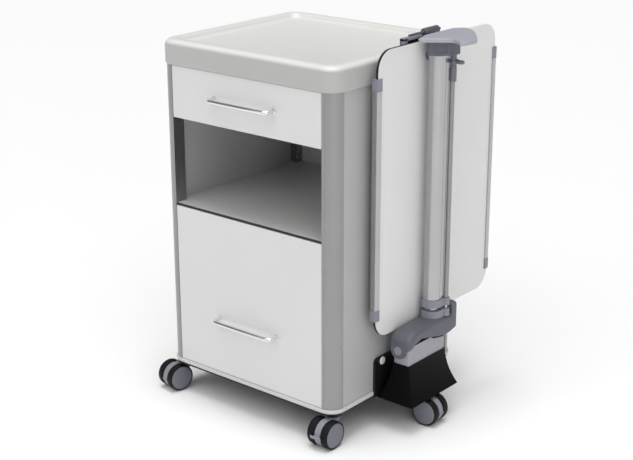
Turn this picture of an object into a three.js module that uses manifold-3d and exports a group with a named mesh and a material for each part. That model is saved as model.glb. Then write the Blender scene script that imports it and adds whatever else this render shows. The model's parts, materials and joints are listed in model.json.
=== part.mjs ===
// Hospital bedside cabinet on castors with a folded overbed table on its right side.
// Millimetres, +Z up, fronts face -Y. x = 0 is the left edge of the fronts, y = 0 their outer face
// and z = 0 the floor; the last lines centre the whole cabinet over its own origin.
import * as THREE from 'three';
import { mergeVertices } from 'three/addons/utils/BufferGeometryUtils.js';
import Module from 'manifold-3d';

const wasm = await Module();
wasm.setup();

// ---- Driving dimensions: cabinet ----
const frontWidth = 400;
const cabinetDepth = 424;
const postRadius = 31;
const postWall = 3;
const castorHeight = 65.5;
const lowerFrontHeight = 354.3;
const shelfThickness = 5.5;
const nicheHeight = 187;
const drawerFrontHeight = 110.4;
const trayHeight = 51;
const frontThickness = 18;
const sidePanelThickness = 14;
const rearPanelThickness = 10;
const panelSetback = 1.5;
const overhang = 3;
const baseThickness = 8;
const frameThickness = 4.7;
const dividerThickness = 6;
const gap = 0.3;
const reveal = 0.6;

// ---- Drawers ----
const boxWall = 6;
const boxSideGap = 13;
const runnerHeight = 30;
const runnerWall = 2.6;
const slideClearance = 0.6;
const handleSpacing = 160;
const handleReach = 28;
const handleRadius = 4.5;

// ---- Castors ----
const wheelRadius = 30;
const wheelWidth = 18;
const wheelPitch = 36;
const castorTrail = 27;
const axleRadius = 4;
const stemRadius = 5.5;
const stemLength = 9;
const swivelRadius = 17;

// ---- Overbed table; values ending in Out are measured outwards from the cabinet's right side ----
const bracketThickness = 4;
const bracketFront = 131;
const bracketRear = 305;
const bracketHeight = 87;
const skirtReach = 96.5;
const skirtWall = 3;
const tablePostWidth = 38;
const tablePostDepth = 128;
const tablePostWall = 3;
const tablePostTop = 190;
const tablePostOut = 37;
const tablePostY = 152;
const pinRadius = 6;
const pinOut = 51;
const pinZ = 180.4;
const armInnerOut = 33;
const armOuterOut = 81;
const armTop = 223;
const armWall = 3.5;
const sleeveOut = 41;
const sleeveY = 242;
const sleeveWidth = 31;
const sleeveDepth = 36;
const sleeveWall = 3;
const sleeveCorner = 19;
const sleeveSmallCorner = 5;
const sleeveTop = 780;
const mastClearance = 0.5;
const mastWall = 3;
const mastTop = 700;
const ringProud = 3;
const ringHeight = 16;
const ringGap = 8;
const armBlockTop = 248;
const armBlockDepth = 36;
const tongueRadius = 18.5;
const tubeRadius = 5.25;
const rodRadius = 3;
const rodTop = 690;
const tubeTop = 739;
const fittingRadius = 7;
const fittingHeight = 33;
const neckRadius = 6.4;
const collarHeight = 30;
const wingThickness = 8.6;
const boardThickness = 6;
const boardOut = 28;
const boardFront = 99;
const boardRear = 507;
const boardBottom = 214.5;
const boardTop = 807;
const boardCorner = 40;
const boardPivotY = 264;
const boardPivotZ = 775;
const hubRadius = 10.5;
const railBottom = 278;
const railTop = 730;
const railCapHeight = 24;
const railWrap = 3.5;
const railLap = 10;
const railCabinetSide = 6.5;
const railOuterSide = 2.4;
const hingeOut = 12.5;
const hingeZ = 818;
const hingeBarrelRadius = 8;

// ---- Levels and planes worked out from them ----
const leftX = -postRadius;
const rightX = frontWidth + postRadius;
const frameBottom = castorHeight + gap;
const frameTop = frameBottom + frameThickness;
const baseBottom = frameTop + gap;
const baseTop = baseBottom + baseThickness;
const lowerFrontBottom = baseTop + reveal;
const lowerFrontTop = lowerFrontBottom + lowerFrontHeight;
const shelfBottom = lowerFrontTop + reveal;
const shelfTop = shelfBottom + shelfThickness;
const drawerFrontBottom = shelfTop + nicheHeight;
const drawerFrontTop = drawerFrontBottom + drawerFrontHeight;
const trayBottom = drawerFrontTop + reveal;
const trayTop = trayBottom + trayHeight;
const rearPanelFront = cabinetDepth - panelSetback - rearPanelThickness;
const innerLeft = leftX + panelSetback + sidePanelThickness;
const innerRight = rightX - panelSetback - sidePanelThickness;
const bracketX = rightX + gap;
const tablePostX = rightX + tablePostOut;
const pinX = rightX + pinOut;
const armLeft = rightX + armInnerOut;
const armRight = rightX + armOuterOut;
const sleeveX = rightX + sleeveOut;
const boardOuterX = rightX + boardOut;
const hingeX = rightX + hingeOut;

// ---- Materials ----
function material(color, roughness, metalness) {
  return new THREE.MeshStandardMaterial({ color, roughness, metalness });
}
const whiteLaminate = material(0xe6e6e4, 0.45, 0);
const tabletopLaminate = material(0xe2e2e1, 0.4, 0);
const aluminium = material(0xa9aaac, 0.35, 1);
const steel = material(0xb4b5b8, 0.3, 1);
const chrome = material(0xd9dadc, 0.08, 1);
const trayPlastic = material(0xdcdbd6, 0.4, 0);
const basePlastic = material(0xb9b9ba, 0.5, 0);
const darkSteel = material(0x2a2a2b, 0.5, 0.3);
const greyPlastic = material(0x6f717c, 0.5, 0);
const lightGreyPlastic = material(0x8e909e, 0.5, 0);
const darkGreyPlastic = material(0x565862, 0.55, 0);
const blackPlastic = material(0x1d1d1e, 0.55, 0);
const tyreRubber = material(0x19191a, 0.7, 0);

// ---- Shape helpers ----
const cabinet = new THREE.Group();

// Turns a closed three.js geometry into a solid that can be cut and joined.
function solid(geometry) {
  const bare = geometry.clone();
  bare.deleteAttribute('normal');
  bare.deleteAttribute('uv');
  const merged = mergeVertices(bare, 1e-4);
  return new wasm.Manifold(new wasm.Mesh({
    numProp: 3,
    vertProperties: new Float32Array(merged.attributes.position.array),
    triVerts: new Uint32Array(merged.index.array),
  }));
}

function geometryOf(body) {
  const mesh = body.getMesh();
  const geometry = new THREE.BufferGeometry();
  geometry.setAttribute('position', new THREE.BufferAttribute(mesh.vertProperties, 3));
  geometry.setIndex(new THREE.BufferAttribute(mesh.triVerts, 1));
  const flat = geometry.toNonIndexed();
  flat.computeVertexNormals();
  return flat;
}

function add(name, body, look, parent = cabinet) {
  const mesh = new THREE.Mesh(geometryOf(body), look.clone());
  mesh.name = name;
  parent.add(mesh);
  return mesh;
}

function box(x0, x1, y0, y1, z0, z1) {
  const geometry = new THREE.BoxGeometry(x1 - x0, y1 - y0, z1 - z0);
  geometry.translate((x0 + x1) / 2, (y0 + y1) / 2, (z0 + z1) / 2);
  return solid(geometry);
}

function extrude(shape, depth, right, up, start, segments = 6) {
  const geometry = new THREE.ExtrudeGeometry(shape, { depth, bevelEnabled: false, curveSegments: segments });
  const out = new THREE.Vector3().crossVectors(right, up);
  geometry.applyMatrix4(new THREE.Matrix4().makeBasis(right, up, out).setPosition(start));
  return solid(geometry);
}

const X = new THREE.Vector3(1, 0, 0);
const Y = new THREE.Vector3(0, 1, 0);
const Z = new THREE.Vector3(0, 0, 1);

// A plan outline (x, y) raised from z0 to z1.
function prismZ(shape, z0, z1, segments) {
  return extrude(shape, z1 - z0, X, Y, new THREE.Vector3(0, 0, z0), segments);
}

// A side outline (y, z) drawn out from x0 to x1.
function prismX(shape, x0, x1, segments) {
  return extrude(shape, x1 - x0, Y, Z, new THREE.Vector3(x0, 0, 0), segments);
}

// A front outline (x, z) drawn out from y0 to y1.
function prismY(shape, y0, y1, segments) {
  return extrude(shape, y1 - y0, X, Z, new THREE.Vector3(0, y1, 0), segments);
}

// A rectangle with its own radius at each corner, in the order low-low, high-low, high-high, low-high.
function roundedRect(x0, x1, y0, y1, radii) {
  const [a, b, c, d] = Array.isArray(radii) ? radii : [radii, radii, radii, radii];
  const shape = new THREE.Shape();
  shape.moveTo(x0 + a, y0);
  shape.lineTo(x1 - b, y0);
  if (b > 0) shape.absarc(x1 - b, y0 + b, b, -Math.PI / 2, 0);
  shape.lineTo(x1, y1 - c);
  if (c > 0) shape.absarc(x1 - c, y1 - c, c, 0, Math.PI / 2);
  shape.lineTo(x0 + d, y1);
  if (d > 0) shape.absarc(x0 + d, y1 - d, d, Math.PI / 2, Math.PI);
  shape.lineTo(x0, y0 + a);
  if (a > 0) shape.absarc(x0 + a, y0 + a, a, Math.PI, Math.PI * 1.5);
  return shape;
}

function polygon(points) {
  return new THREE.Shape(points.map(([x, y]) => new THREE.Vector2(x, y)));
}

function circle(x, y, radius) {
  return new THREE.Shape().absarc(x, y, radius, 0, Math.PI * 2);
}

function rod(axis, centre, radius, low, high, segments = 10) {
  if (axis === 'x') return prismX(circle(centre[0], centre[1], radius), low, high, segments);
  if (axis === 'y') return prismY(circle(centre[0], centre[1], radius), low, high, segments);
  return prismZ(circle(centre[0], centre[1], radius), low, high, segments);
}

// Joins a stack of outlines, each with the same number of points, into one closed body.
function loft(sections) {
  const count = sections[0].points.length;
  const positions = [];
  for (const { points, z } of sections) {
    for (const point of points) positions.push(point.x, point.y, z);
  }
  const triangles = [];
  for (let s = 0; s < sections.length - 1; s += 1) {
    for (let i = 0; i < count; i += 1) {
      const a = s * count + i;
      const b = s * count + ((i + 1) % count);
      triangles.push(a, b, b + count, a, b + count, a + count);
    }
  }
  const top = (sections.length - 1) * count;
  for (const [a, b, c] of THREE.ShapeUtils.triangulateShape(sections[0].points, [])) {
    triangles.push(c, b, a);
  }
  for (const [a, b, c] of THREE.ShapeUtils.triangulateShape(sections.at(-1).points, [])) {
    triangles.push(top + a, top + b, top + c);
  }
  const geometry = new THREE.BufferGeometry();
  geometry.setAttribute('position', new THREE.BufferAttribute(new Float32Array(positions), 3));
  geometry.setIndex(triangles);
  return solid(geometry);
}

// Outline points of a rounded rectangle, in one turn and with no point repeated.
function ringPoints(x0, x1, y0, y1, radii, segments = 5) {
  const points = roundedRect(x0, x1, y0, y1, radii).getPoints(segments);
  const ring = points.filter((point, i) => i === 0 || point.distanceTo(points[i - 1]) > 1e-3);
  if (ring[0].distanceTo(ring.at(-1)) < 1e-3) ring.pop();
  return ring;
}

// ---- Cabinet shell ----
// A corner post is a hollow quarter-round: its flat inner faces meet at (x, y).
function cornerPost(name, x, y, sideX, sideY) {
  const place = (u, v) => new THREE.Vector2(x + sideX * u, y + sideY * v);
  const outer = [place(0, 0)];
  const steps = 10;
  for (let i = 0; i <= steps; i += 1) {
    const angle = (Math.PI / 2) * (i / steps);
    outer.push(place(postRadius * Math.cos(angle), postRadius * Math.sin(angle)));
  }
  const boreRadius = postRadius - postWall;
  const first = Math.asin(postWall / boreRadius);
  const bore = [place(postWall, postWall)];
  for (let i = 0; i <= steps; i += 1) {
    const angle = first + (Math.PI / 2 - 2 * first) * (i / steps);
    bore.push(place(boreRadius * Math.cos(angle), boreRadius * Math.sin(angle)));
  }
  if (THREE.ShapeUtils.isClockWise(outer)) outer.reverse();
  const shape = new THREE.Shape(outer);
  shape.holes.push(new THREE.Path(bore));
  add(name, prismZ(shape, baseTop + gap, trayBottom - gap), aluminium);
}

function shell() {
  const frontY = postRadius;
  const rearY = cabinetDepth - postRadius;
  cornerPost('front_left_post', 0, frontY, -1, -1);
  cornerPost('front_right_post', frontWidth, frontY, 1, -1);
  cornerPost('rear_left_post', 0, rearY, -1, 1);
  cornerPost('rear_right_post', frontWidth, rearY, 1, 1);
  const low = baseTop + gap;
  const high = trayBottom - gap;
  const panel = (x0) => box(x0, x0 + sidePanelThickness, frontY + gap, rearY - gap, low, high);
  add('left_side_panel', panel(leftX + panelSetback), whiteLaminate);
  add('right_side_panel', panel(innerRight), whiteLaminate);
  add('rear_panel', box(gap, frontWidth - gap, rearPanelFront, rearPanelFront + rearPanelThickness, low, high),
    whiteLaminate);
}

// A horizontal panel that reaches between the side panels and is notched round the four posts.
function notchedPanel(frontEdge, z0, z1) {
  const left = innerLeft + gap;
  const right = innerRight - gap;
  const frontNotch = postRadius + gap;
  const rearNotch = cabinetDepth - postRadius - gap;
  const rear = rearPanelFront - gap;
  return prismZ(polygon([
    [gap, frontEdge], [frontWidth - gap, frontEdge], [frontWidth - gap, frontNotch], [right, frontNotch],
    [right, rearNotch], [frontWidth - gap, rearNotch], [frontWidth - gap, rear], [gap, rear],
    [gap, rearNotch], [left, rearNotch], [left, frontNotch], [gap, frontNotch],
  ]), z0, z1);
}

function shelves() {
  const shelfSetback = 2;
  add('shelf', notchedPanel(shelfSetback, shelfBottom, shelfTop), whiteLaminate);
  const dividerFront = frontThickness + reveal;
  add('drawer_divider', notchedPanel(dividerFront, drawerFrontBottom, drawerFrontBottom + dividerThickness),
    whiteLaminate);
}

// The moulded top: rounded outside, a raised rim and a sunk floor, and an open underside.
function topTray() {
  const corner = postRadius + overhang;
  const edge = 12;
  const [x0, x1, y0, y1] = [leftX - overhang, rightX + overhang, -overhang, cabinetDepth + overhang];
  const outline = (inset, z, radius = corner) => ({
    points: ringPoints(x0 + inset, x1 - inset, y0 + inset, y1 - inset, Math.max(radius - inset, 1)),
    z,
  });
  const sections = [outline(0, trayBottom)];
  const steps = 5;
  for (let i = 0; i <= steps; i += 1) {
    const angle = (Math.PI / 2) * (i / steps);
    sections.push(outline(edge * (1 - Math.cos(angle)), trayTop - edge + edge * Math.sin(angle)));
  }
  const rimWidth = 28;
  const rimSlope = 6;
  const recess = 9;
  const floorZ = trayTop - recess;
  const sunk = loft([
    outline(rimWidth + rimSlope, floorZ, corner + rimWidth / 2),
    outline(rimWidth, trayTop, corner + rimWidth / 2),
    outline(rimWidth, trayTop + 1, corner + rimWidth / 2),
  ]);
  const skin = 4;
  const bearing = postRadius + overhang + skin;
  const pocket = loft([
    outline(bearing, trayBottom - 1, corner + bearing),
    outline(bearing, floorZ - skin, corner + bearing),
  ]);
  add('top_tray', loft(sections).subtract(sunk).subtract(pocket), trayPlastic);
}

// ---- Castors ----
const castorInset = 29;
const castorSideInset = 20;
const castorX = rightX - castorSideInset;
const fifthX = rightX + 55;
const fifthY = 222;
const castors = [
  { name: 'front_left', x: leftX + 11, y: castorInset, trail: -Math.PI / 2 - 0.2, brake: false },
  { name: 'front_right', x: castorX, y: castorInset - 3, trail: -Math.PI / 2, brake: true },
  { name: 'rear_left', x: frontWidth - castorX, y: cabinetDepth - castorInset, trail: Math.PI / 2 + 0.5, brake: false },
  { name: 'rear_right', x: castorX, y: cabinetDepth - castorInset, trail: Math.PI * 5 / 6, brake: false },
  { name: 'table', x: fifthX, y: fifthY, trail: 0.05, brake: false },
];

// Twin wheel and axle as one lathe about the axle, rounded at the tread edges.
function wheelPair() {
  const inner = wheelPitch / 2 - wheelWidth / 2;
  const outer = inner + wheelWidth;
  const round = 2.5;
  const half = [
    [axleRadius, 0], [axleRadius, inner], [wheelRadius - round, inner], [wheelRadius, inner + round],
    [wheelRadius, outer - round * 1.6], [wheelRadius - round, outer - 0.6], [wheelRadius - 6, outer],
    [0, outer],
  ];
  const profile = [
    ...half.slice(1).reverse().map(([r, w]) => [r, -w]),
    ...half.slice(1),
  ];
  const points = profile.map(([r, w]) => new THREE.Vector2(r, w));
  return solid(new THREE.LatheGeometry(points, 32));
}

// Swivelling body: hood between the wheels, a round head under the cabinet and its stem.
// Local frame: swivel axis at x = y = 0, wheels trail towards +x, axle along y.
function castorBody(brake) {
  const halfWidth = wheelPitch / 2 - wheelWidth / 2 - 1;
  const hoodRadius = wheelRadius - 1.5;
  const floorClearance = 6;
  const headBottom = wheelRadius * 2 + 0.8;
  const hood = rod('y', [castorTrail, wheelRadius], hoodRadius, -halfWidth, halfWidth, 14);
  const trimmed = hood.subtract(box(-10, 70, -20, 20, -5, floorClearance));
  const web = box(-swivelRadius * 0.6, castorTrail, -halfWidth, halfWidth, wheelRadius + 6, headBottom + 1);
  const head = rod('z', [0, 0], swivelRadius, headBottom, castorHeight, 10);
  const stem = rod('z', [0, 0], stemRadius, castorHeight - 1, castorHeight + stemLength, 6);
  const bore = rod('y', [castorTrail, wheelRadius], axleRadius + 0.4, -20, 20, 6);
  let body = trimmed.add(web).add(head).add(stem).subtract(bore);
  if (brake) body = body.subtract(pedalPath(halfWidth));
  return body;
}

// The brake pedal swings about the axle, in a slot that leaves it room on both sides.
const pedalTravel = 12 * (Math.PI / 180);
const pedalHalfHeight = 3;
const pedalInner = 17;

function pedalSector(radius, spread, halfWidth) {
  const shape = new THREE.Shape();
  const sweep = pedalTravel + spread;
  const high = spread;
  shape.moveTo(castorTrail + pedalInner * Math.cos(high), wheelRadius + pedalInner * Math.sin(high));
  shape.lineTo(castorTrail + radius * Math.cos(high), wheelRadius + radius * Math.sin(high));
  shape.lineTo(castorTrail + radius * Math.cos(sweep), wheelRadius - radius * Math.sin(sweep));
  shape.lineTo(castorTrail + pedalInner * Math.cos(sweep), wheelRadius - pedalInner * Math.sin(sweep));
  return prismY(shape, -halfWidth, halfWidth);
}

function pedalPath(halfWidth) {
  return pedalSector(wheelRadius + 5, 0.36, halfWidth + 1);
}

function brakePedal() {
  const clear = 1.2;
  const stalkHalf = wheelPitch / 2 - wheelWidth / 2 - 1.6;
  const tabHalf = 13;
  const reach = castorTrail + wheelRadius;
  const top = wheelRadius + pedalHalfHeight;
  const stalk = box(castorTrail + pedalInner + 3, reach + 2, -stalkHalf, stalkHalf,
    wheelRadius - pedalHalfHeight, top);
  const tab = box(reach + clear, reach + clear + 3.6, -tabHalf, tabHalf, wheelRadius - pedalHalfHeight, top);
  return stalk.add(tab);
}

function castorsAndBrakes() {
  for (const { name, x, y, trail, brake } of castors) {
    const place = new THREE.Group();
    place.position.set(x, y, 0);
    place.rotation.z = trail;
    cabinet.add(place);
    add(`${name}_castor_body`, castorBody(brake), greyPlastic, place);
    const wheels = add(`${name}_castor_wheels`, wheelPair(), tyreRubber, place);
    wheels.position.set(castorTrail, 0, wheelRadius);
    if (brake) add(`${name}_brake_pedal`, brakePedal(), lightGreyPlastic, place);
  }
}

// Sockets for the castor stems are bored through the base.
function stemBores(z0, z1) {
  return castors.map(({ x, y }) => rod('z', [x, y], stemRadius + gap, z0, z1, 6));
}

function base() {
  const corner = postRadius + overhang;
  const plate = prismZ(roundedRect(leftX - overhang, rightX + overhang, -overhang, cabinetDepth + overhang,
    corner), baseBottom, baseTop);
  const frame = prismZ(roundedRect(leftX, rightX, 0, cabinetDepth, postRadius), frameBottom, frameTop);
  const notch = box(rightX, rightX + 20, bracketFront - reveal, bracketRear + reveal, 0, baseTop + 1);
  let boredPlate = plate.subtract(notch);
  let boredFrame = frame;
  for (const bore of stemBores(frameBottom - 1, baseTop + 1)) {
    boredPlate = boredPlate.subtract(bore);
    boredFrame = boredFrame.subtract(bore);
  }
  add('base_plate', boredPlate, basePlastic);
  add('base_frame', boredFrame, darkSteel);
}

// ---- Drawers ----
// Each drawer has a front, an open box, a bow handle and a bar on each side that slides in a fixed channel.
function bowHandle(z) {
  const centre = frontWidth / 2;
  const half = handleSpacing / 2;
  const reachY = -handleReach + handleRadius;
  const bend = 9;
  const path = new THREE.CurvePath();
  const at = (x, y) => new THREE.Vector3(x, y, z);
  path.add(new THREE.LineCurve3(at(centre - half, -gap), at(centre - half, reachY + bend)));
  path.add(new THREE.QuadraticBezierCurve3(at(centre - half, reachY + bend), at(centre - half, reachY),
    at(centre - half + bend, reachY)));
  path.add(new THREE.LineCurve3(at(centre - half + bend, reachY), at(centre + half - bend, reachY)));
  path.add(new THREE.QuadraticBezierCurve3(at(centre + half - bend, reachY), at(centre + half, reachY),
    at(centre + half, reachY + bend)));
  path.add(new THREE.LineCurve3(at(centre + half, reachY + bend), at(centre + half, -gap)));
  return solid(new THREE.ExtrudeGeometry(circle(0, 0, handleRadius), {
    steps: 36, extrudePath: path, bevelEnabled: false, curveSegments: 5,
  }));
}

function drawer(name, frontZ0, frontZ1, boxZ0, boxZ1, runnerZ, handleZ) {
  add(`${name}_front`, box(reveal, frontWidth - reveal, 0, frontThickness, frontZ0, frontZ1), whiteLaminate);
  add(`${name}_handle`, bowHandle(handleZ), chrome);
  const [x0, x1] = [boxSideGap, frontWidth - boxSideGap];
  const [y0, y1] = [frontThickness + gap, rearPanelFront - 24];
  const outside = box(x0, x1, y0, y1, boxZ0, boxZ1);
  const inside = box(x0 + boxWall, x1 - boxWall, y0 + boxWall, y1 - boxWall, boxZ0 + boxWall, boxZ1 + 1);
  add(`${name}_box`, outside.subtract(inside), basePlastic);

  const runnerY0 = postRadius + 2;
  const runnerY1 = y1;
  const slotHigh = runnerZ + runnerHeight - runnerWall;
  const slotLow = runnerZ + runnerWall;
  for (const side of [-1, 1]) {
    const wallX = side < 0 ? innerLeft + gap : innerRight - gap;
    const mirror = (a) => (side < 0 ? a : frontWidth - a);
    const span = (a, b) => [Math.min(mirror(a), mirror(b)), Math.max(mirror(a), mirror(b))];
    const lip = 8;
    const slotDepth = 3;
    const outerX = Math.min(wallX, mirror(lip));
    const channel = box(outerX, Math.max(wallX, mirror(lip)), runnerY0, runnerY1, runnerZ,
      runnerZ + runnerHeight);
    const slot = box(...span(slotDepth, lip + 2), runnerY0 - 1, runnerY1 + 1, slotLow, slotHigh);
    const label = side < 0 ? 'left' : 'right';
    add(`${name}_${label}_runner`, channel.subtract(slot), steel);
    const bar = box(...span(slotDepth + slideClearance, boxSideGap - gap), y0 + gap, runnerY1 - 2,
      slotLow + slideClearance, slotHigh - slideClearance);
    add(`${name}_${label}_slide`, bar, steel);
  }
}

function drawers() {
  const boxFloorGap = 16;
  const handleDrop = 54.5;
  const lowerHandleZ = 204;
  drawer('top_drawer', drawerFrontBottom, drawerFrontTop, drawerFrontBottom + boxFloorGap,
    drawerFrontTop - 14, drawerFrontBottom + 36, drawerFrontTop - handleDrop);
  drawer('lower_drawer', lowerFrontBottom, lowerFrontTop, lowerFrontBottom + boxFloorGap,
    lowerFrontTop - 24, lowerFrontBottom + 130, lowerHandleZ);
}

// ---- Overbed table: bracket, skirt and post ----
function sideBracket() {
  const plate = prismX(roundedRect(bracketFront, bracketRear, frameBottom, frameBottom + bracketHeight,
    [0, 0, 10, 10]), bracketX, bracketX + bracketThickness);
  const footInset = 11;
  const foot = box(bracketX, rightX + skirtReach - skirtWall - 4.5, bracketFront + skirtWall + footInset,
    bracketRear - footInset, frameBottom, frameBottom + bracketThickness);
  const stem = rod('z', [fifthX, fifthY], stemRadius + gap, frameBottom - 1, frameBottom + 20, 6);
  add('side_bracket', plate.add(foot).subtract(stem), darkSteel);
}

function skirt() {
  const postClear = 0.4;
  const skirtSetback = 6;
  const lip = 1.8;
  const top = { x0: tablePostX - postClear - lip, x1: tablePostX + tablePostWidth + postClear + lip,
    y0: tablePostY - postClear - lip, y1: tablePostY + tablePostDepth + postClear + lip };
  const innerX = bracketX + bracketThickness + gap;
  const low = { x0: innerX, x1: rightX + skirtReach, y0: bracketFront + skirtSetback, y1: bracketRear };
  const height = bracketHeight - 3;
  const steps = 6;
  const flare = (t) => (1 - t) ** 1.8;
  const sections = (inset, extend) => {
    const list = [];
    for (let i = 0; i <= steps; i += 1) {
      const t = i / steps;
      const k = flare(t);
      const mix = (a, b) => a + (b - a) * k;
      const wall = inset * (1 - t) + (inset > 0 ? lip : 0) * t;
      list.push({
        points: ringPoints(mix(top.x0, low.x0) + wall, mix(top.x1, low.x1) - wall,
          mix(top.y0, low.y0) + wall, mix(top.y1, low.y1) - wall, 3, 2),
        z: frameBottom + height * t,
      });
    }
    if (extend) {
      list.unshift({ points: list[0].points, z: frameBottom - 2 });
      list.push({ points: list.at(-1).points, z: frameBottom + height + 2 });
    }
    return list;
  };
  const footPath = box(innerX - 1, innerX + 20, bracketFront + skirtWall + 3, bracketRear - 3,
    frameBottom - 1, frameBottom + bracketThickness + gap);
  const shellBody = loft(sections(0, false)).subtract(loft(sections(skirtWall, true)));
  add('skirt_cover', shellBody.subtract(footPath), blackPlastic);
}

function tablePost() {
  const [x0, x1] = [tablePostX, tablePostX + tablePostWidth];
  const [y0, y1] = [tablePostY, tablePostY + tablePostDepth];
  const shape = roundedRect(x0, x1, y0, y1, 3);
  shape.holes.push(roundedRect(x0 + tablePostWall, x1 - tablePostWall, y0 + tablePostWall,
    y1 - tablePostWall, 1));
  const tube = prismZ(shape, frameBottom + bracketThickness + gap, tablePostTop, 3);
  const bore = rod('y', [pinX, pinZ], pinRadius + gap, y0 - 1, y1 + 1, 8);
  add('table_post', tube.subtract(bore), steel);
  const armFront = y0 - gap * 4 - armWall;
  const pin = rod('y', [pinX, pinZ], pinRadius, armFront - gap, y1 + 12, 8);
  const head = rod('y', [pinX, pinZ], 10, armFront - gap - 2.5, armFront - gap, 10);
  add('tilt_pin', pin.add(head), lightGreyPlastic);
}

// ---- Tilting arm and telescopic column ----
function columnOutline(offset) {
  const small = Math.max(sleeveSmallCorner + offset, 0.5);
  const large = sleeveCorner + offset;
  return roundedRect(sleeveX - offset, sleeveX + sleeveWidth + offset, sleeveY - offset,
    sleeveY + sleeveDepth + offset, [small, large, small, small]);
}
const mastOffset = -sleeveWall - mastClearance;
const tubeX = sleeveX + sleeveWidth + 1;
const tubeY = sleeveY + sleeveDepth + gap + tubeRadius;
const fittingY = tubeY + fittingRadius - tubeRadius;
const lowerRingBottom = armTop + gap;
const lowerRingTop = lowerRingBottom + ringHeight;
const upperRingBottom = lowerRingTop + ringGap;
const upperRingTop = upperRingBottom + ringHeight;
const fittingBottom = tubeTop - 15;
const fittingTop = fittingBottom + fittingHeight;
const collarBottom = sleeveTop + gap;
const collarTop = collarBottom + collarHeight;

function tiltArm() {
  const postClear = gap * 4;
  const front = tablePostY - postClear - armWall;
  const rearWall = tablePostY + tablePostDepth + postClear;
  const rear = rearWall + armBlockDepth;
  const plateFront = rear - 20;
  const side = polygon([
    [front, pinZ - 1], [front + 25, pinZ + 6], [front + 47, pinZ + 16], [front + 88, pinZ + 10],
    [rearWall, pinZ], [rearWall + 8, pinZ], [rear, pinZ + 7], [rear, armBlockTop - 7],
    [rear - 6, armBlockTop], [plateFront + 5, armBlockTop], [plateFront, armBlockTop - 4], [plateFront, armTop],
    [sleeveY - 9, armTop], [front + 25, armTop - 2], [front + 8, armTop - 8], [front, armTop - 16],
  ]);
  const block = prismX(side, armLeft, armRight);
  const tongue = new THREE.Shape();
  const tongueTop = armTop - 24;
  tongue.moveTo(pinX - tongueRadius, tongueTop);
  tongue.lineTo(pinX - tongueRadius, pinZ);
  tongue.absarc(pinX, pinZ, tongueRadius, Math.PI, Math.PI * 2);
  tongue.lineTo(armRight - 3, pinZ + 5);
  tongue.lineTo(armRight - 3, tongueTop);
  const frontPlate = prismY(tongue, front, front + armWall, 12);
  const cavityTop = tablePostTop + 9;
  const cavity = box(armLeft - 1, armRight - armWall, front + armWall, rearWall, 100, cavityTop);
  const pinBore = rod('y', [pinX, pinZ], pinRadius + gap, front - 1, rearWall + 16, 8);
  const socket = prismZ(columnOutline(mastOffset + gap), cavityTop + 6, armTop + 1);
  add('tilt_arm', block.subtract(cavity).add(frontPlate).subtract(pinBore).subtract(socket), darkGreyPlastic);

  const mast = columnOutline(mastOffset);
  mast.holes.push(columnOutline(mastOffset - mastWall));
  add('inner_mast', prismZ(mast, cavityTop + 6 + gap, mastTop), aluminium);
}

// A flat ring round the column with an ear that carries the gas spring.
function springRing(innerOffset, z0, z1, boreRadius) {
  const earRadius = tubeRadius + 3;
  const outer = prismZ(columnOutline(ringProud), z0, z1);
  const ear = rod('z', [tubeX, tubeY], earRadius, z0, z1, 8);
  const neck = box(tubeX - earRadius + 2, tubeX + earRadius - 2, tubeY - earRadius, tubeY, z0, z1);
  const hole = prismZ(columnOutline(innerOffset), z0 - 1, z1 + 1);
  const bore = rod('z', [tubeX, tubeY], boreRadius, z0 - 1, z1 + 1, 8);
  return outer.add(ear).add(neck).subtract(hole).subtract(bore);
}

function column() {
  add('lower_ring', springRing(mastOffset + gap, lowerRingBottom, lowerRingTop, rodRadius + gap),
    lightGreyPlastic);
  add('upper_ring', springRing(gap, upperRingBottom, upperRingTop, rodRadius + 2 * gap), lightGreyPlastic);
  add('gas_rod', rod('z', [tubeX, tubeY], rodRadius, lowerRingBottom + gap, rodTop, 8), chrome);

  const sleeve = columnOutline(0);
  sleeve.holes.push(columnOutline(-sleeveWall));
  const grooveY = sleeveY + sleeveCorner + 0.4;
  const groove = box(sleeveX + sleeveWidth - 0.8, sleeveX + sleeveWidth + 1, grooveY, grooveY + 1,
    upperRingBottom - 1, sleeveTop + 1);
  add('column_sleeve', prismZ(sleeve, upperRingBottom, sleeveTop).subtract(groove), aluminium);

  const tube = rod('z', [tubeX, tubeY], tubeRadius, upperRingTop + gap, tubeTop, 8);
  const fitting = rod('z', [tubeX, fittingY], fittingRadius, fittingBottom, fittingTop, 10);
  const neck = rod('z', [tubeX, fittingY], neckRadius, fittingTop - 1, collarBottom - gap, 8);
  const bore = rod('z', [tubeX, tubeY], rodRadius + 2 * gap, upperRingTop - 1, rodTop + 10, 8);
  add('gas_tube', tube.add(fitting).add(neck).subtract(bore), steel);
}

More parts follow.
